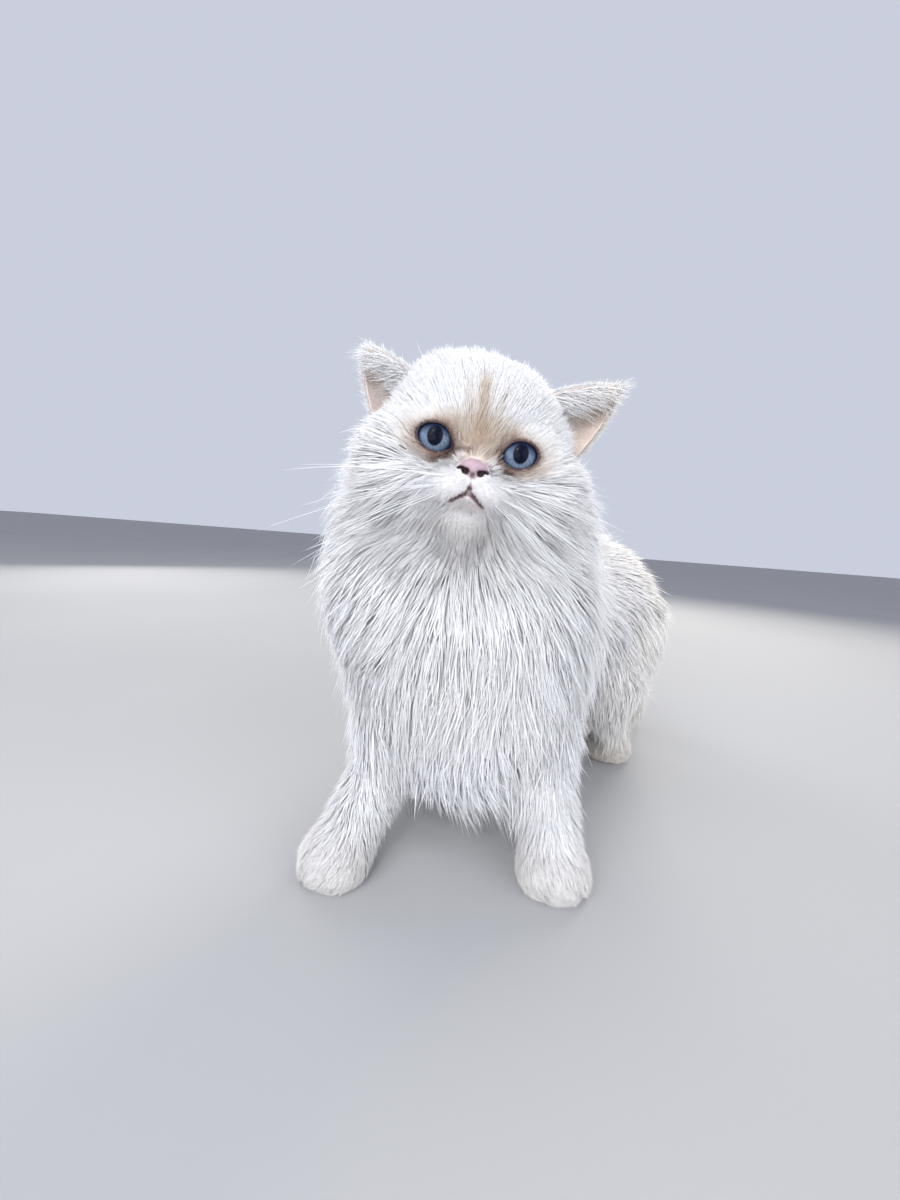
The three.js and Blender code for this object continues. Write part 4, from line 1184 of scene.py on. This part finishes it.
centres = skin_points[skin_faces].mean(axis=1)
depth = np.maximum(-whole(centres, 1.0), 0.4)
q = moved(HEAD_BACK, centres)
_, nose, _, mouth, holes = bare_masks(q)
lids = np.minimum(lid_edge(q, -1), lid_edge(q, 1))
rim = (1 - smooth(lids, 0.3, 1.2)) * (q[:, 1] < EYES_END)
socket = (eye_distance(q) < EYE_RADIUS + 0.4) * 1.0
bare = np.maximum.reduce([rim, nose, mouth, holes, socket])
haired = smooth(0.5 - bare, 0.0, 0.4) * (centres[:, 2] > 1.5)
face_group = group_shares(centres).argmax(axis=1)

spacing = 1.8 + 0.19 * depth
guide_roots, guide_faces = scatter(skin_points, skin_faces, haired / spacing ** 2)
paths, outs, lengths = guides_from(guide_roots, depth[guide_faces])
tree = kdtree.KDTree(len(guide_roots))
for n, root in enumerate(guide_roots):
    tree.insert(root, n)
tree.balance()

TUFTS = {  # how dense and how wide tufts are, and rings of short, middle and long ones
    "head": (1.7, 0.64, (2, 2, 3)),
    "neck": (1.8, 0.8, (2, 3, 3)),
    "trunk": (0.76, 1.1, (2, 3, 3)),
    "tail": (1.0, 1.0, (2, 3, 3)),
    "foreleg": (0.75, 0.95, (2, 3, 3)),
    "forepaw": (0.9, 0.8, (2, 2, 3)),
    "hindleg": (0.4, 1.25, (2, 3, 3)),
    "hindpaw": (0.6, 1.0, (2, 2, 3)),
}
BANDS = {"short": (0, 9), "middle": (9, 22), "long": (22, math.inf)}  # lengths of tufts
NEAR_GUIDES = 4
kinds = [TUFTS[name.split("_")[0]] for name in GROUP_NAMES]
density_of, width_of = np.array([kind[:2] for kind in kinds]).T
length_at = hair_length(centres, depth)


def tufts_at(density):
    """Roots, their group, own path, nearest guide, outward directions and lengths. Each tuft's
    path is made of those of the guides round it that face the same way."""
    roots, _ = scatter(skin_points, skin_faces, density)
    found = [[hit[1:] for hit in tree.find_n(root, NEAR_GUIDES)] for root in roots]
    near, far = np.moveaxis(np.array(found), -1, 0)
    near = near.astype(int)
    normal = unit(gradient(roots))
    facing = (outs[near, 0] * normal[:, None]).sum(axis=-1)
    share = np.maximum(facing, 0.02) / (far ** 2 + 0.5)
    share /= share.sum(axis=1, keepdims=True)
    best = near[np.arange(len(roots)), share.argmax(axis=1)]
    own = ((paths[near] - paths[near, :1]) * share[..., None, None]).sum(axis=1) + roots[:, None]
    out = unit((outs[near] * share[..., None, None]).sum(axis=1))
    lacking = np.maximum(0.5 - (out * normal[:, None]).sum(axis=-1, keepdims=True), 0)
    out = unit(out + 1.6 * lacking * normal[:, None])
    return roots, group_shares(roots).argmax(axis=1), own, best, out, (lengths[near] * share).sum(axis=1)


density = haired * 2.1 / (1.0 + 0.105 * length_at) * density_of[face_group]
roots, group, own, best, out, length_here = tufts_at(density)
width = (0.34 + 0.021 * length_here) * draws.uniform(0.8, 1.25, len(roots)) * width_of[group]
clump = draws.uniform(0.1, 0.5, len(paths))[best] * smooth(length_here, 5, 25)
stray = draws.choice((0.035, 0.09, 0.17), len(roots), p=(0.8, 0.15, 0.05))
root_tints = marking(roots)
shade = draws.normal(1.0, 0.03, len(roots)) * draws.normal(1.0, 0.015, len(paths))[best]
plan = unwrap(roots, group)
for n, name in enumerate(GROUP_NAMES):
    for (label, (low, high)), rings in zip(BANDS.items(), kinds[n][2]):
        mine = (group == n) & (length_here >= low) & (length_here < high)
        if not mine.any():
            continue
        points, normals, shares = tuft_points(
            own[mine], paths[best[mine]], out[mine], length_here[mine], width[mine], rings,
            clump[mine], stray[mine])
        # Each tuft is painted darker at its root than at its tip: painted shade deep in the coat
        dark = 0.88 + 0.12 * smooth(shares, 0.0, 0.5)
        tones = root_tints[mine][:, None]
        if name == "head":  # the fine markings there are those of the skin under each place
            foot, up = own[mine][:, :1], out[mine][:, :1]
            above = ((points - foot) * up).sum(axis=-1, keepdims=True)
            tones = marking(points - up * above)
        tints = tones * (dark * shade[mine][:, None])[..., None]
        coat_pieces(f"{name}_{label}", rings, points, normals, tints, plan[mine])

# The underfur: broad and short, so that partings of the long hair stay pale
under = haired * smooth(length_at, 4, 8) * 0.57 / (1 + 0.5 * np.clip(length_at, 0, 24))
roots, group, own, _, out, length_here = tufts_at(under)
points, normals, _ = tuft_points(
    own, own, out, length_here, np.clip(length_here * 0.14, 1.0, 2.6), 2,
    np.zeros(len(roots)), np.full(len(roots), 0.02), 1.0, (0.5, 0.8))
tints = np.repeat(marking(roots)[:, None], points.shape[1], axis=1)
coat_pieces("underfur", 2, points, normals, tints, unwrap(roots, group))

# Hair of the ears: short on the back, along the rim and as a lining, long across the opening,
# and a tuft at the tip, which is longest on the left ear
BACK_HAIRS, RIM_HAIRS, INSIDE_HAIRS, LINING_HAIRS, TIP_HAIRS = 1900, 1500, 420, 1100, 90


def drawn(count, low=-1.0, high=1.0):
    return draws.uniform(low, high, count)


def ear_hair(label, ear, u, v, at, facing, way, length, width, rings, creamy=0.0, bend=0.1, sag=0.0):
    """Hair on an ear at places u and v, at a depth in it, facing and leaning as given."""
    count = len(v)
    roots = ear_point(ear, u, v, np.full(count, at))
    ways = unit(way + draws.normal(0, 0.16, (count, 3)))
    plan = np.stack([0.05 + 0.2 * (ear is EARS["left"]) + 0.08 * u, 0.40 + 0.07 * v], axis=1)
    tints = mixed(marking(roots), CREAM, np.full(count, creamy)) * draws.normal(1, 0.03, (count, 1))
    paths, outs_at = own_paths(roots, np.tile(facing, (count, 1)), ways, length, bend, sag)
    points, normals, shares = tuft_points(paths, paths, outs_at, length, width, rings,
                                          np.zeros(count), np.full(count, 0.03), 0.0)
    # Darker at the root than at the tip: painted shade, as in the coat
    tints = tints[:, None] * (0.86 + 0.14 * smooth(shares, 0, 0.5))[..., None]
    coat_pieces(label, rings, points, normals, tints, plan)


for side, ear in EARS.items():
    _, rise, across, back = ear_frame(ear)
    up, outward = unit(rise), unit(across)

    count = BACK_HAIRS
    u, v = drawn(count), drawn(count, 0, 1) ** 1.3
    way = up + 0.35 * outward * u[:, None] + 0.25 * back
    ear_hair(f"ear_{side}_back", ear, u, v, 1.8, back, way,
             drawn(count, 6, 11), drawn(count, 0.4, 0.7), 2)
    count = RIM_HAIRS
    edge = np.where(drawn(count) > 0, 1.0, -1.0)
    v = drawn(count, 0.05, 0.98)
    way = up + 0.35 * outward * edge[:, None] + 0.1 * back
    ear_hair(f"ear_{side}_rim", ear, edge * 0.98, v, 1.0, back, way,
             drawn(count, 4, 8) * (1 - 0.4 * v), drawn(count, 0.35, 0.6), 2)
    count = INSIDE_HAIRS
    v = drawn(count, 0.1, 0.75)
    way = 0.75 * outward + 0.6 * up - 0.35 * back
    ear_hair(f"ear_{side}_inside", ear, -0.8 + 0.2 * drawn(count), v, 0.5, -back, way,
             drawn(count, 16, 30), drawn(count, 0.4, 0.75), 4, bend=0.25, sag=0.1)
    count = LINING_HAIRS
    u, v = drawn(count, -0.95, 0.95), drawn(count, 0.05, 0.95)
    way = up + 0.4 * outward * u[:, None] - 0.2 * back
    ear_hair(f"ear_{side}_lining", ear, u, v, 0.5, -back, way,
             drawn(count, 3.5, 7), drawn(count, 0.25, 0.45), 2, creamy=0.7)
    count = TIP_HAIRS
    longest = {"right": 9, "left": 21}[side]
    ear_hair(f"ear_{side}_tip", ear, 0.5 * drawn(count), drawn(count, 0.86, 0.99), 1.0, back,
             up + 0.1 * outward, drawn(count, 6, longest), drawn(count, 0.4, 0.7), 3)

# Whiskers: rows on the pads, longest on the right, and a few over the eyes
WHISKER_RINGS, WHISKER_WIDE, WHISKER_SAG, WHISKER_TONE = 8, 0.95, 0.16, 0.92
places, ways, sizes = [], [], []
for side in (-1, 1):
    for row in range(3):
        for n in range(4):
            places.append((side * (8.5 + 2.6 * n), -4.6 + 1.5 * n, -19 - 3 * row - 0.4 * n))
            ways.append((side, -0.02 + 0.1 * n, -0.04 - 0.27 * row + 0.04 * n))
            sizes.append(draws.uniform(66, 92) + 19 * (side < 0) - 5 * row)
    for n in range(3):
        places.append((side * (17 + 4 * n), 6 + 2 * n, 13.5))
        ways.append((side * (0.25 + 0.3 * n), 0.0, 1))
        sizes.append(draws.uniform(34, 46))
ways, sizes = unit(np.array(ways)) @ HEAD[:3, :3].T, np.array(sizes)
outs_at = unit(np.cross(np.cross(ways, DOWN), ways))
paths, outs_at = own_paths(moved(HEAD, places), outs_at, ways, sizes, 0.0, WHISKER_SAG)
none = np.zeros(len(sizes))
points, _, _ = tuft_points(paths, paths, outs_at, sizes, none + WHISKER_WIDE, WHISKER_RINGS,
                           none, none, 0.0)
whiskers, _ = tuft_mesh("whiskers", points, WHISKER_RINGS)
set_colours(whiskers, np.full((points.size // 3, 3), WHISKER_TONE))
whiskers.data.materials.append(whisker_finish)
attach(whiskers, "root")
